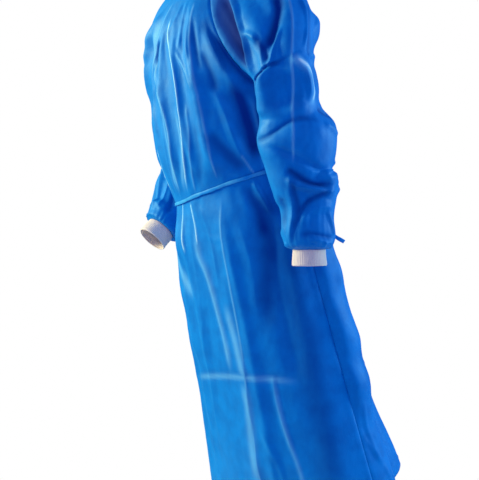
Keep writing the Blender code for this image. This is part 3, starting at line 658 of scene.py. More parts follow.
def with_wrist(stations, cuff):
    """A sleeve's stations with two more, where it turns in and meets the end of its cuff."""
    start, end = (np.array(ring[:3]) for ring in cuff)
    axis = unit(end - start)
    radius = cuff[0][3]
    turn = tuple(start - axis * WRIST_BACK) + (radius + WRIST_FULLER,) * 2
    meet = tuple(start) + (radius,) * 2
    return stations + (turn, meet)


# Shapes across a crease, of the distance from its path: below 0 is on the path's right as it runs down
def past_round(d):
    return np.sqrt(d * d + CREASE_ROUND**2) - CREASE_ROUND


def swell(d, w):
    return bell(d / w)


def edge(d, w):
    return np.exp(-past_round(d) / (0.6 * w))


def roof(d, w):
    return np.clip(1 - past_round(d) / w, 0, 1) ** 1.3


def lip(d, w):
    return bell(d / np.where(d > 0, w, 0.3 * w))


CREASE_SHAPES = {
    "soft": swell,
    "broad": swell,
    "sheen": swell,
    "pressed": edge,
    "fold": edge,
    "roof": roof,
    "lip": lip,
}


def crease_height(creases, across, along, per_across, per_along):
    """The height that a table of creases adds, how pale each point is painted along sharp edges and sheens
    (pressed fibres that have whitened, and a painted highlight), and how deep in a hollow each point lies,
    which sets the painted shade there. across and along place each point of the cloth, and per_across and
    per_along are the metres of cloth that one unit of each is there."""
    total, marks, hollow = (np.zeros(across.shape) for _ in range(3))
    for path, *forms in creases:
        bends = len(path) - 1
        run = along_rows(np.linspace(0, bends, CREASE_SAMPLES * bends + 1), path)
        turn = (across - path[0][0] + 180) % 360 - 180 + path[0][0]
        nearest = np.full(across.shape, np.inf)
        signed, place = np.zeros(across.shape), np.zeros(across.shape)
        for k in range(len(run) - 1):
            ax, ay = (run[k, 0] - turn) * per_across, (run[k, 1] - along) * per_along
            dx, dy = (run[k + 1, 0] - run[k, 0]) * per_across, (run[k + 1, 1] - run[k, 1]) * per_along
            t = np.clip(-(ax * dx + ay * dy) / (dx * dx + dy * dy + 1e-12), 0, 1)
            ox, oy = -(ax + t * dx), -(ay + t * dy)
            distance = np.hypot(ox, oy)
            closer = distance < nearest
            nearest = np.where(closer, distance, nearest)
            signed = np.where(closer, np.sign(dx * oy - dy * ox) * distance, signed)
            place = np.where(closer, (k + t) / (len(run) - 1), place)
        fade = eased(place / CREASE_FADE) * eased((1 - place) / CREASE_FADE)
        for half_width, height, shape in forms:
            half_width, height = half_width * MM, height * MM
            total += height * fade * CREASE_SHAPES[shape](signed, half_width)
            # Painted highlight along the crest, together with the whitened fibres of a pressed edge
            if height > 0 and shape in PALE_SHAPES:
                sharp = shape == "pressed"
                width, fades = (MARK_WIDTH, eased(fade * 2)) if sharp else (half_width, fade)
                pale = min(height / MARK_HEIGHT, 1.0) ** 2
                marks = np.maximum(marks, pale * fades * bell(nearest / width))
            # Painted shade: the deeper a crease is, the darker its blue is painted
            if height < 0 and shape != "broad":
                hollow -= height / HOLLOW_DEPTH * fade * bell(nearest / half_width)
    return total, marks, np.clip(hollow, 0, 2)


def metres_per_unit(points, values, axis):
    """How many metres of cloth one unit of a value is, along one axis of the grid."""
    step = np.linalg.norm(np.gradient(points, axis=axis), axis=-1)
    return step / np.maximum(np.abs(np.gradient(values, axis=axis)), 1e-6)


def crumple(points, seed, drape, facets, fine):
    """Unevenness that no crease has alone: a slow drape, crisp facets longer than they are wide, and a
    fine unevenness. Each is given by its height."""
    stretched = points * np.array([1.0, 1.0, 0.45])
    return (
        drape * waves(points, 0.17, seed)
        - facets * np.abs(waves(stretched, 0.075, seed + 1))
        - 0.5 * facets * np.abs(waves(stretched, 0.034, seed + 2))
        + fine * waves(points, 0.016, seed + 3)
    )


def beside_seam(height, distance, along, seed):
    """Cloth beside a seam lies flat on it, then swells a little, with short uneven puckers across it."""
    pucker = waves(np.stack([along, along * 0], -1), 0.013, seed) * bell(distance / 0.012)
    swollen = 0.0008 * bell((distance - 0.007) / 0.006) + 0.0006 * pucker
    return height * (1 - bell(distance / 0.01)) + swollen * (1 - bell(distance / 0.003))


def stand(name, data):
    made = bpy.data.objects.new(name, data)
    bpy.context.scene.collection.objects.link(made)
    return made


def from_edit(name, edit):
    """The object of a mesh that was edited, once the edit is done."""
    mesh = bpy.data.meshes.new(name)
    edit.to_mesh(mesh)
    edit.free()
    return stand(name, mesh)


def shell(name, points, uv, marks=(), closed=False, flip=False, thickness=SHELL):
    """A thin cloth shell over a grid of points. Closed tubes are joined where their edges meet."""
    rows, columns = points.shape[:2]
    index = np.arange(rows * columns).reshape(rows, columns)
    quads = np.stack([index[:-1, :-1], index[:-1, 1:], index[1:, 1:], index[1:, :-1]], -1).reshape(-1, 4)
    if flip:
        quads = quads[:, ::-1]
    mesh = bpy.data.meshes.new(name)
    mesh.from_pydata(points.reshape(-1, 3).tolist(), [], quads.tolist())
    layer = mesh.uv_layers.new(name="cut")
    corners = np.zeros(len(mesh.loops), int)
    mesh.loops.foreach_get("vertex_index", corners)
    layer.data.foreach_set("uv", uv.reshape(-1, 2)[corners].astype(np.float32).ravel())
    for mark, values in dict(marks).items():
        attribute = mesh.attributes.new(mark, "FLOAT", "POINT")
        attribute.data.foreach_set("value", values.astype(np.float32).ravel())
    if closed:
        edit = bmesh.new()
        edit.from_mesh(mesh)
        rim = [v for v in edit.verts if v.is_boundary]
        bmesh.ops.remove_doubles(edit, verts=rim, dist=1e-5)
        edit.to_mesh(mesh)
        edit.free()
    mesh.shade_smooth()
    made = stand(name, mesh)
    wall = made.modifiers.new("wall", "SOLIDIFY")
    wall.thickness = thickness
    wall.offset = -1.0
    return made


def body_rows():
    """Rows of a body panel, from the hem up to the neckline."""
    below = np.linspace(HEM_Z, UNDERARM_Z, BODY_ROWS_BELOW + 1)[:-1]
    above = np.linspace(1, 0, BODY_ROWS_ABOVE + 1)
    return np.concatenate([below, above])


def eased_rows(points, share):
    """The same points with the bends between rows eased out, as far as share says at each."""
    share = share[1:-1, :, None]
    for _ in range(ROW_EASES):
        level = (points[:-2] + points[2:]) / 2
        points[1:-1] += share * 0.5 * (level - points[1:-1])
    return points


def body_cloth(side, columns, creases, seed, edge=None):
    """The creased outer face of a body panel and its UVs. edge is the column of a free edge, if any."""
    u, row = np.meshgrid(columns, body_rows())
    points, outward, degrees = body_surface(side, u, row)
    at_underarm = bell((points[..., 2] - UNDERARM_Z) / ROW_EASE_Z)
    points = eased_rows(points, eased((1 - np.abs(u)) / SIDE_EASE) * at_underarm)
    if edge == LAP:
        points = points - outward * under_lap(u)[..., None]
    z = points[..., 2]
    per_degree = metres_per_unit(points, degrees, 1)
    per_z = np.minimum(metres_per_unit(points, z, 0), 3.0)
    across = degrees + 0.0014 * waves(points, 0.16, seed + 10) / per_degree
    height, marks, hollow = crease_height(creases, across, z / MM, per_degree, per_z * MM)
    height = height * (0.9 + 0.2 * waves(points, 0.11, seed + 11))
    facets = 0.0004 + 0.0003 * eased((z - CHEST_LOW_Z) / 0.2)
    height += crumple(points, seed, 0.0014, facets, 0.00012)
    from_tie = z - belt_z(degrees)
    gathers = 0.0016 * waves(ring(degrees), 0.16, 31) * np.exp(-np.abs(from_tie) / TIE_GATHERS)
    pinch = bell(from_tie / TIE_PINCH)
    height = (height + gathers) * (1 - pinch) - 0.001 * pinch
    from_side = (1 - np.abs(u)) * metres_per_unit(points, u, 1)
    from_side = np.where((u < 0) & (columns[0] > -1), 1.0, from_side)
    from_side = np.where((u > 0) & (columns[-1] < 1), 1.0, from_side)
    height = beside_seam(height, from_side, z, seed + 12)
    from_hem = (z - z[:1]) * per_z
    height += 0.0007 * bell((from_hem - HEM_FOLD) / 0.0022) + 0.0004 * (from_hem < HEM_FOLD)
    if edge is not None:
        turn_in = 1 - bell((u - columns[0 if edge < 0 else -1]) * 0.2 / 0.004)
        height = np.where(turn_in < 1, np.minimum(height, 0.0008), height)
    points = points + outward * height[..., None]
    uv = np.stack([degrees * BODY_DEGREE, z], -1)
    return {"points": points, "uv": uv, "marks": {"crease_mark_and_highlight": marks, "hollow": hollow}}


def front_columns():
    """Columns of the front, closer together where most of its creases are."""
    first, last = FRONT_FINE_TURN
    plain = (first + 1) / (first + 1 + 1 - last)
    left = round(FRONT_CELLS_PLAIN * plain)
    right = FRONT_CELLS_PLAIN - left
    fine = np.linspace(first, last, FRONT_CELLS_FINE + 1)
    return np.concatenate([np.linspace(-1, first, left + 1)[:-1], fine, np.linspace(last, 1, right + 1)[1:]])


def build_body():
    front = shell("front_cloth", **body_cloth(-1, front_columns(), FRONT_CREASES, 3))
    whole = np.linspace(-1, 1, BACK_CELLS + 1)
    left, right = whole[whole > -LAP - 0.001], whole[whole < LAP + 0.001]
    back_left = shell("back_left_cloth", flip=True, **body_cloth(1, left, BACK_CREASES, 4, -LAP))
    back_right = shell("back_right_cloth", flip=True, **body_cloth(1, right, BACK_CREASES, 4, LAP))
    return front, back_left, back_right


def sleeve_ease(w, row):
    """How much a sleeve's rows are eased: where the yoke meets the arm, and above the wrist."""
    off_seam = np.where(row < 0, eased((1 - np.abs(w)) / SIDE_EASE), 1.0)
    at_underarm = bell(row / np.where(row < 0, 0.16, 0.7))
    return off_seam * np.maximum(at_underarm, bell(row - 7) * (row > 5))


def build_sleeve(stations, crest, hand, creases, seed):
    above = np.linspace(-1, 0, SLEEVE_ROWS_ABOVE + 1)[:-1]
    below = np.linspace(0, len(stations) - 1, SLEEVE_ROWS_PER_STATION * (len(stations) - 1) + 1)
    w, row = np.meshgrid(np.linspace(-1, 1, SLEEVE_CELLS + 1), np.concatenate([above, below]))
    points, outward, degrees = sleeve_surface(stations, crest, hand, w, row)
    points = eased_rows(points, sleeve_ease(w, row))
    per_degree = metres_per_unit(points, degrees, 1)
    per_row = metres_per_unit(points, row, 0)
    across = degrees + 0.0012 * waves(points, 0.14, seed + 10) / per_degree
    height, marks, hollow = crease_height(creases, across, row, per_degree, per_row)
    height += crumple(points, seed, 0.0014, 0.0006, 0.00014)
    to_wrist = len(stations) - 1 - row
    gathers = 0.0016 * waves(ring(degrees), 0.22, seed + 13) * np.exp(-to_wrist / 1.4)
    height = height * eased(to_wrist / 1.2) + gathers * eased(to_wrist / 0.4)
    from_seam = (1 - np.abs(w)) * metres_per_unit(points, w, 1)
    from_seam = np.where(row > 0.0, from_seam + 0.04 * row, from_seam)
    height = beside_seam(height, from_seam, points[..., 2], seed + 12)
    points = points + outward * (height * eased((row + 1) / 0.06))[..., None]
    length = np.cumsum(np.linalg.norm(np.diff(points, axis=0, prepend=points[:1]), axis=-1), axis=0)
    uv = np.stack([degrees * SLEEVE_DEGREE, -length], -1)
    marks = {"crease_mark_and_highlight": marks, "hollow": hollow}
    return shell(f"sleeve_{SIDE[hand]}_cloth", points, uv, marks, closed=True, flip=hand > 0)


# Knitted cuffs
CUFF_RIBS = 56
CUFF_RIB_HEIGHT = 0.00042
CUFF_CELLS = CUFF_RIBS * 6
CUFF_ROWS = 30


def build_cuff(ends, hand):
    low, high = (np.array(end) for end in ends)
    along = unit(high[:3] - low[:3])
    across = unit(np.cross(along, np.array([0.0, 1.0, 0.0])))
    other = np.cross(along, across)
    w, t = np.meshgrid(np.linspace(-1, 1, CUFF_CELLS + 1), np.linspace(0, 1, CUFF_ROWS + 1))
    angle = w * math.pi
    middle = low[:3] + (high[:3] - low[:3]) * t[..., None]
    outward = across * np.cos(angle)[..., None] + other * np.sin(angle)[..., None]
    radius = low[3] + (high[3] - low[3]) * t
    ribs = CUFF_RIB_HEIGHT * np.cos(angle * CUFF_RIBS)
    slack = 0.001 * waves(outward + t[..., None] * 0.4, 1.3, 51 + hand) * np.sin(math.pi * t)
    rolled = -0.0012 * bell((1 - t) / 0.05)
    points = middle + outward * (radius - 0.0006 + ribs + slack + rolled)[..., None]
    uv = np.stack([angle * low[3], t * np.linalg.norm(high[:3] - low[:3])], -1)
    return shell(f"cuff_{SIDE[hand]}_knit", points, uv, closed=True, thickness=0.0012)


def ribbon(name, middle, across, out, width, wall, closed=False, sides=12):
    """A flat band along a run of points, round at its edges. across and out are its directions."""
    turn = np.linspace(0, 2 * math.pi, sides, endpoint=False)
    flat = np.sign(np.cos(turn)) * np.abs(np.cos(turn)) ** 0.6
    width = np.broadcast_to(width, len(middle))[:, None, None]
    wall = np.broadcast_to(wall, len(middle))[:, None, None]
    rings = (
        middle[:, None]
        + across[:, None] * flat[None, :, None] * width / 2
        + out[:, None] * np.sin(turn)[None, :, None] * wall / 2
    )
    count = len(middle)
    edit = bmesh.new()
    verts = [[edit.verts.new(Vector(p)) for p in ring] for ring in rings]
    for k in range(count if closed else count - 1):
        near, far = verts[k], verts[(k + 1) % count]
        for i in range(sides):
            j = (i + 1) % sides
            edit.faces.new((near[i], near[j], far[j], far[i]))
    if not closed:
        edit.faces.new(verts[0][::-1])
        edit.faces.new(verts[-1])
    bmesh.ops.recalc_face_normals(edit, faces=edit.faces)
    made = from_edit(name, edit)
    made.data.shade_smooth()
    return made


def neck_line(turn):
    """A point of the neckline and the way out there. turn is in degrees from the front; past 180 either
    way it laps at the back."""
    angle = np.radians(turn)
    depth = np.where(np.cos(angle) > 0, NECK_FRONT, NECK_BACK)
    z = NECK_MIDDLE_Z - NECK_SLOPE * np.cos(angle)
    point = np.stack([NECK_HALF_WIDTH * np.sin(angle), -depth * np.cos(angle), z], -1)
    return point, unit(np.stack([np.sin(angle), -np.cos(angle), 0 * turn], -1))


def build_binding():
    past = LAP * NECK_SEAM_DEGREES
    turns = np.linspace(-180 - past, 180 + past, 260)
    point, outward = neck_line(turns)
    lapped = (BINDING_WALL + LAP_GAP) * eased((-turns - BINDING_LAP_DEGREES) / HEM_RISE_EASE)
    wobble = 0.0004 * waves(turns[:, None] / 360, 0.05, 61)
    inward = wobble - lapped - BINDING_WALL / 2
    middle = point + outward * inward[:, None] + UP * (BINDING_HEIGHT / 2 + 0.0002)
    width = BINDING_HEIGHT * (1 + 0.03 * waves(turns[:, None] / 360, 0.03, 62))
    upward = np.broadcast_to(UP, middle.shape)
    return ribbon("neck_binding_band", middle, upward, outward, width, BINDING_WALL)


def knot_middle():
    point, outward, _ = body_surface(1, np.array((180 - KNOT_DEGREES) / 90), np.array(BELT_LEVEL))
    return point + outward * (BELT_WALL + KNOT_RADII[1] + 0.0007)


def build_belt():
    u = np.linspace(-1, 1, 240)
    level = np.full(u.shape, BELT_LEVEL)
    halves = zip(body_surface(-1, u, level), body_surface(1, u[::-1], level))
    middle, out, turn = (np.concatenate([front[:-1], back[:-1]]) for front, back in halves)
    circle = ring(turn)
    tilt = (0.06 * waves(circle, 0.35, 71))[:, None]
    across = unit(UP + out * tilt)
    out = unit(out - UP * tilt)
    lift = BELT_WALL / 2 + 0.0004 + 0.0003 * (1 + waves(circle, 0.12, 72))
    narrow = 1 - 0.16 * eased(0.5 + 0.5 * waves(circle, 0.3, 73))
    middle = middle + out * lift[:, None] + UP * (0.0005 * waves(circle, 0.4, 74))[:, None]
    width = BELT_WIDTH * BELT_GATHERED * narrow
    return ribbon("waist_belt_band", middle, across, out, width, BELT_WALL, closed=True)


def build_knot():
    """The tie drawn into a small flat overhand knot."""
    t = np.linspace(0, 2 * math.pi, 120, endpoint=False)
    x, z = (np.sin(t) + 2 * np.sin(2 * t)) / 3, (np.cos(t) - 2 * np.cos(2 * t)) / 3
    middle = np.stack([x, -np.sin(3 * t), z], -1) * (np.array(KNOT_RADII) - 0.0022)
    along = unit(np.roll(middle, -1, axis=0) - np.roll(middle, 1, axis=0))
    out = unit(np.array([0.0, 1.0, 0.0]) - along * along[:, 1:2])
    across = np.cross(along, out)
    return ribbon("belt_knot_band", middle + knot_middle(), across, out, 0.0066, 0.003, closed=True)


def build_tail(hand, path):
    """A free end of the tie down its path from the knot, turning a little as it goes."""
    place = np.linspace(0, len(path) - 1, 90)
    middle = along_rows(place, path)
    along = unit(np.gradient(middle, axis=0))
    side = unit(np.array([1.0, 0.0, 0.0]) - along * along[:, :1])
    face = np.cross(side, along)
    turned = hand * TAIL_TURN * eased(place / (len(path) - 1))
    across = side * np.cos(turned)[:, None] + face * np.sin(turned)[:, None]
    out = np.cross(across, along)
    width = TAIL_WIDTH * (1 - 0.12 * eased(0.5 + waves(place[:, None], 1.1, 80 + hand) / 2))
    return ribbon(f"belt_end_{SIDE[hand]}_band", middle + knot_middle(), across, out, width, 0.0014)


# Sewing: rows of short stitches on the hem and the neck binding
STITCH = 0.003
STITCH_GAP = 0.0012
THREAD = 0.00035


def stitch_run(edit, points, outward):
    """Adds one row of stitches along a run of points, raised half a thread along outward."""
    steps = np.linalg.norm(np.diff(points, axis=0), axis=-1)
    length = np.concatenate([[0.0], np.cumsum(steps)])
    starts = np.arange(0.002, length[-1] - STITCH, STITCH + STITCH_GAP)

    def at(distance, values):
        return np.stack([np.interp(distance, length, values[:, axis]) for axis in range(3)], -1)

    first, last = at(starts, points), at(starts + STITCH, points)
    out = unit(at(starts + STITCH / 2, outward))
    for a, b, o in zip(first, last, out):
        along = unit(b - a)
        side = np.cross(along, o) * THREAD
        rise = o * THREAD
        crown = (a + b) / 2
        ring = (crown + side + rise * 0.3, crown + rise * 1.4, crown - side + rise * 0.3, crown - rise * 0.6)
        ends = [edit.verts.new(Vector(p)) for p in (a, b)]
        hoop = [edit.verts.new(Vector(p)) for p in ring]
        for i in range(4):
            j = (i + 1) % 4
            edit.faces.new((ends[0], hoop[i], hoop[j]))
            edit.faces.new((ends[1], hoop[j], hoop[i]))


def build_stitching():
    edit = bmesh.new()
    for side, columns in ((-1, np.linspace(-1, 1, 300)), (1, np.linspace(-LAP, 1, 260))):
        points, outward, _ = body_surface(side, columns, np.full(columns.shape, HEM_Z + 0.016))
        stitch_run(edit, points + outward * 0.0012, outward)
    points, outward = neck_line(np.linspace(-180, 180, 400))
    stitch_run(edit, points + outward * 0.0002 + UP * 0.0022, outward)
    bmesh.ops.recalc_face_normals(edit, faces=edit.faces)
    return from_edit("stitching", edit)


# Finishes
BLUE_LIGHT = (0.0, 0.198, 0.64, 1.0)
BLUE_DEEP = (0.0, 0.152, 0.54, 1.0)
# Pale blue of pressed edges and sheens: whitened fibres and a painted highlight
BLUE_PRESSED_AND_HIGHLIGHT = (0.26, 0.66, 0.92, 1.0)
# Painted shade of creases and hollows, darker still in the deepest
BLUE_PAINTED_SHADE = (0.0, 0.01, 0.21, 1.0)
BLUE_PAINTED_DEEP_SHADE = (0.0, 0.001, 0.13, 1.0)
# Near white at the palest marks: a painted highlight
PALE_PRESSED_AND_HIGHLIGHT = (0.78, 0.88, 0.95, 1.0)
KNIT_WHITE = (0.98, 0.8, 0.73, 1.0)
KNIT_DEEP = (0.82, 0.65, 0.58, 1.0)
# The tie is of the gown's own cloth, painted a lighter blue: a painted highlight along it
TIE_PAINTED_HIGHLIGHT_BLUE = (0.06, 0.38, 0.72, 1.0)
FLOOR_PALE = (0.95, 0.88, 0.74, 1.0)
THREAD_BLUE = (0.02, 0.25, 0.7, 1.0)
BOND_PITCH = 0.0026
LOOP_WIDTH = 0.002
LOOP_HEIGHT = 0.0013


class Nodes:
    """A material's nodes, made and linked by short calls."""

    def __init__(self, name):
        self.material = bpy.data.materials.new(name)
        self.material.use_nodes = True
        self.tree = self.material.node_tree
        self.shader = self.tree.nodes["Principled BSDF"]

    def add(self, kind, settings=(), **inputs):
        node = self.tree.nodes.new(kind)
        for name, value in dict(settings).items():
            setattr(node, name, value)
        for name, value in inputs.items():
            self.join(value, node.inputs[name.replace("_", " ")])
        return node

    def join(self, value, socket):
        if isinstance(value, bpy.types.NodeSocket):
            self.tree.links.new(value, socket)
        else:
            socket.default_value = value

    def math(self, operation, a, b=0.0):
        node = self.tree.nodes.new("ShaderNodeMath")
        node.operation = operation
        self.join(a, node.inputs[0])
        self.join(b, node.inputs[1])
        return node.outputs[0]

    def times(self, a, b):
        return self.math("MULTIPLY", a, b)

    def plus(self, a, b):
        return self.math("ADD", a, b)

    def blend(self, share, a, b):
        node = self.tree.nodes.new("ShaderNodeMix")
        node.data_type = "RGBA"
        self.join(share, node.inputs["Factor"])
        self.join(a, node.inputs[6])
        self.join(b, node.inputs[7])
        return node.outputs[2]

    def ramp(self, value, low, high, to_low=0.0, to_high=1.0):
        node = self.add("ShaderNodeMapRange", Value=value, From_Min=low, From_Max=high)
        node.inputs["To Min"].default_value = to_low
        node.inputs["To Max"].default_value = to_high
        return node.outputs[0]

    def noise(self, coordinates, scale, detail=2.0):
        node = self.add("ShaderNodeTexNoise", Vector=coordinates, Scale=scale, Detail=detail)
        return node.outputs["Factor" if "Factor" in node.outputs else "Fac"]

    def bump(self, height, distance, normal=None):
        node = self.add("ShaderNodeBump", Height=height, Distance=distance, Strength=1.0)
        if normal is not None:
            self.join(normal, node.inputs["Normal"])
        return node.outputs[0]

    def finish(self, **values):
        for name, value in values.items():
            self.join(value, self.shader.inputs[name.replace("_", " ")])
        return self.material


def nonwoven(name, light, deep):
    """Spunbonded cloth: fibres pressed together, with a grid of small shiny bond points."""
    n = Nodes(name)
    places = n.add("ShaderNodeTexCoord").outputs
    cut = n.add("ShaderNodeMapping", Vector=places["UV"], Rotation=(0.0, 0.0, math.radians(45)))
    cut.inputs["Scale"].default_value = (1 / BOND_PITCH, 1 / BOND_PITCH, 1.0)
    bonds = n.add("ShaderNodeTexVoronoi", Vector=cut.outputs[0], Scale=1.0, Randomness=0.0)
    point = n.ramp(bonds.outputs["Distance"], 0.2, 0.36, 1.0, 0.0)
    clouds = n.noise(places["Object"], 26.0, 3.0)
    fibres = n.noise(places["Object"], 900.0, 2.0)
    share = n.plus(n.ramp(clouds, 0.35, 0.65), n.times(n.ramp(fibres, 0.3, 0.7, -1.0, 1.0), 0.22))
    colour = n.blend(share, deep, light)
    colour = n.blend(n.times(point, 0.18), colour, deep)
    # Pale marks: whitened pressed fibres and a painted highlight, near white where they are strongest
    mark = n.add("ShaderNodeAttribute", {"attribute_name": "crease_mark_and_highlight"}).outputs["Fac"]
    colour = n.blend(n.times(mark, 0.8), colour, BLUE_PRESSED_AND_HIGHLIGHT)
    colour = n.blend(n.ramp(mark, 0.65, 1.0, 0.0, 0.75), colour, PALE_PRESSED_AND_HIGHLIGHT)
    # Painted shade: creases and hollows are painted a darker blue, darkest where deepest, and made rougher
    hollow = n.add("ShaderNodeAttribute", {"attribute_name": "hollow"}).outputs["Fac"]
    colour = n.blend(n.ramp(hollow, 0.0, 1.0, 0.0, 0.88), colour, BLUE_PAINTED_SHADE)
    colour = n.blend(n.ramp(hollow, 1.0, 2.0, 0.0, 0.8), colour, BLUE_PAINTED_DEEP_SHADE)
    rough = n.ramp(n.plus(point, n.times(fibres, 0.5)), 0.0, 1.4, 0.6, 0.46)
    rough = n.plus(rough, n.ramp(hollow, 0.0, 1.0, 0.0, 0.35))
    soft = n.bump(n.noise(places["Object"], 120.0, 2.0), 0.0003)
    pressed = n.bump(n.math("SUBTRACT", n.times(fibres, 0.7), point), 0.00008, soft)
    return n.finish(
        Base_Color=colour,
        Roughness=rough,
        Normal=pressed,
        Specular_IOR_Level=0.3,
        Specular_Tint=(0.15, 0.85, 1.0, 1.0),
        Sheen_Weight=0.01,
        Sheen_Roughness=0.35,
        Sheen_Tint=(0.15, 0.7, 1.0, 1.0),
    )


def knitted(name):
    """Rib knit: the ribs are in the mesh, and the loops of each are in the bump."""
    n = Nodes(name)
    places = n.add("ShaderNodeTexCoord").outputs
    parts = n.add("ShaderNodeSeparateXYZ", Vector=places["UV"]).outputs
    lean = n.math("ABSOLUTE", n.math("SINE", n.times(parts[0], math.pi / LOOP_WIDTH)))
    rows = n.math("SINE", n.plus(n.times(parts[1], 2 * math.pi / LOOP_HEIGHT), n.times(lean, 2.0)))
    fuzz = n.noise(places["Object"], 1500.0, 2.0)
    height = n.plus(n.times(rows, 0.5), fuzz)
    # The dips between the rows of loops are painted darker: painted shade, with tone that differs at random
    share = n.ramp(n.plus(rows, n.noise(places["Object"], 40.0)), -1.0, 1.6)
    return n.finish(
        Base_Color=n.blend(share, KNIT_DEEP, KNIT_WHITE),
        Roughness=0.85,
        Normal=n.bump(height, 0.0003),
        Sheen_Weight=0.4,
        Sheen_Roughness=0.5,
    )


def plain_thread(name):
    n = Nodes(name)
    places = n.add("ShaderNodeTexCoord").outputs
    twist = n.noise(places["Object"], 2500.0, 1.0)
    colour = n.blend(twist, BLUE_DEEP, THREAD_BLUE)
    return n.finish(Base_Color=colour, Roughness=0.6, Normal=n.bump(twist, 0.0001))


# Each cloth piece: the node that it replaces, its slot, how it is held, and its cut as (width, length, area)
CUTS = {
    "front_cloth": ("front", "nonwoven", "hung", (0.72, 1.22, 0.68)),
    "back_left_cloth": ("back_left", "nonwoven", "hung", (0.48, 1.26, 0.465)),
    "back_right_cloth": ("back_right", "nonwoven", "hung", (0.48, 1.26, 0.455)),
    "sleeve_left_cloth": ("sleeve_left", "nonwoven", "draped", (0.5, 0.74, 0.29)),
    "sleeve_right_cloth": ("sleeve_right", "nonwoven", "draped", (0.5, 0.74, 0.28)),
    "cuff_left_knit": ("cuff_left", "knit", "stretched", (0.225, 0.034, None)),
    "cuff_right_knit": ("cuff_right", "knit", "stretched", (0.225, 0.036, None)),
    "neck_binding_band": ("neck_binding", "binding", "stretched", (0.011, 0.51, None)),
    "waist_belt_band": ("waist_belt", "tie", "stretched", (0.01, 1.02, None)),
    "belt_end_left_band": ("belt_end_left", "tie", "hung", (0.01, 0.22, None)),
    "belt_end_right_band": ("belt_end_right", "tie", "hung", (0.01, 0.24, None)),
}


def finish_pieces(pieces, stitching, knot):
    cloth = nonwoven("nonwoven_cloth", BLUE_LIGHT, BLUE_DEEP)
    # The tie's lighter blue is a painted highlight
    tie = nonwoven("tie_cloth_painted_highlight", TIE_PAINTED_HIGHLIGHT_BLUE, BLUE_LIGHT)
    finishes = {"nonwoven": cloth, "binding": cloth, "tie": tie, "knit": knitted("rib_knit")}
    for piece in pieces:
        node, slot, held, (width, length, area) = CUTS[piece.name]
        piece.data.materials.append(finishes[slot])
        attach(piece, "root")
        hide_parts(node)
    knot.data.materials.append(tie)
    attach(knot, "root")
    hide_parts("belt_knot")
    stitching.data.materials.append(plain_thread("thread"))
    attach(stitching, "root")


# Studio
FLOOR_Z = -1.5
FLOOR_RADIUS = 0.92
CAMERA_AZIMUTH = 55.0
CAMERA_DISTANCE = 3.0
CAMERA_Z = -0.3
CAMERA_DOWN = 6.2
CAMERA_ROLL = 8.0
CAMERA_LENS = 99.0
CAMERA_SHIFT = -8 / 480
# Lamps: name, azimuth, distance, height, size, power and colour
LIGHTS = (
    ("key", -45.0, 2.6, 0.7, 1.1, 142.0, (1.0, 1.0, 0.54)),
    ("rim", 150.0, 2.4, -0.5, 0.6, 36.0, (0.6, 0.95, 1.0)),
    ("fill", 60.0, 4.0, 1.0, 2.0, 40.0, (1.0, 0.68, 0.6)),
)
AIM_Z = -0.55
AMBIENT = 0.6
AMBIENT_COLOUR = (0.1, 0.37, 1.0, 1.0)


def around(azimuth, distance, z):
    """A place round the gown: azimuth 0 is in front of it and 90 on the wearer's left."""
    angle = math.radians(azimuth)
    return Vector((math.sin(angle) * distance, -math.cos(angle) * distance, z))


def build_camera():
    camera = bpy.data.cameras.new("camera")
    camera.lens = CAMERA_LENS
    camera.sensor_width = 36.0
    camera.shift_x = CAMERA_SHIFT
    holder = stand("camera", camera)
    towards = around(CAMERA_AZIMUTH, 1.0, 0.0)
    down = math.radians(CAMERA_DOWN)
    look = -towards * math.cos(down) - Vector(UP) * math.sin(down)
    up = Vector(UP) * math.cos(down) - towards * math.sin(down)
    roll = Matrix.Rotation(math.radians(CAMERA_ROLL), 3, look)
    right = roll @ look.cross(up)
    up = roll @ up
    holder.matrix_world = Matrix((right, up, -look)).transposed().to_4x4()
    holder.location = around(CAMERA_AZIMUTH, CAMERA_DISTANCE, CAMERA_Z)
    bpy.context.scene.camera = holder


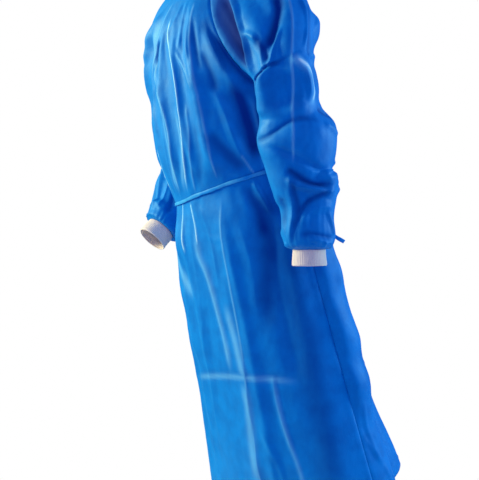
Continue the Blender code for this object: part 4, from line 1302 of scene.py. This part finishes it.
def build_lights():
    for name, azimuth, distance, height, size, power, colour in LIGHTS:
        lamp = bpy.data.lights.new(name, "AREA")
        lamp.shape = "SQUARE"
        lamp.size = size
        lamp.energy = power
        lamp.color = colour
        holder = stand(name, lamp)
        holder.location = around(azimuth, distance, height)
        aim = Vector((0.0, 0.0, AIM_Z)) - holder.location
        holder.rotation_euler = aim.to_track_quat("-Z", "Y").to_euler()


def build_surroundings():
    disc = bmesh.new()
    bmesh.ops.create_circle(disc, cap_ends=True, segments=96, radius=FLOOR_RADIUS)
    floor = from_edit("floor", disc)
    floor.location = (0.0, 0.0, FLOOR_Z)
    pale = Nodes("pale_floor").finish(Base_Color=FLOOR_PALE, Roughness=0.7)
    floor.data.materials.append(pale)
    world = bpy.data.worlds.new("studio")
    bpy.context.scene.world = world
    world.use_nodes = True
    tree = world.node_tree
    sky = tree.nodes["Background"]
    sky.inputs["Color"].default_value = AMBIENT_COLOUR
    sky.inputs["Strength"].default_value = AMBIENT
    white = tree.nodes.new("ShaderNodeBackground")
    white.inputs["Color"].default_value = (1.0, 1.0, 1.0, 1.0)
    white.inputs["Strength"].default_value = 1.0
    ray = tree.nodes.new("ShaderNodeLightPath")
    mix = tree.nodes.new("ShaderNodeMixShader")
    tree.links.new(ray.outputs["Is Camera Ray"], mix.inputs[0])
    tree.links.new(sky.outputs[0], mix.inputs[1])
    tree.links.new(white.outputs[0], mix.inputs[2])
    tree.links.new(mix.outputs[0], tree.nodes["World Output"].inputs[0])
    bpy.context.scene.view_settings.view_transform = "Standard"


def main():
    left = with_wrist(LEFT_STATIONS, LEFT_CUFF)
    right = with_wrist(RIGHT_STATIONS, RIGHT_CUFF)
    pieces = [
        *build_body(),
        build_sleeve(left, LEFT_CREST, 1, LEFT_SLEEVE_CREASES, 5),
        build_sleeve(right, RIGHT_CREST, -1, RIGHT_SLEEVE_CREASES, 6),
        build_cuff(LEFT_CUFF, 1),
        build_cuff(RIGHT_CUFF, -1),
        build_binding(),
        build_belt(),
        build_tail(1, LEFT_TAIL),
        build_tail(-1, RIGHT_TAIL),
    ]
    finish_pieces(pieces, build_stitching(), build_knot())
    build_camera()
    build_lights()
    build_surroundings()


main()
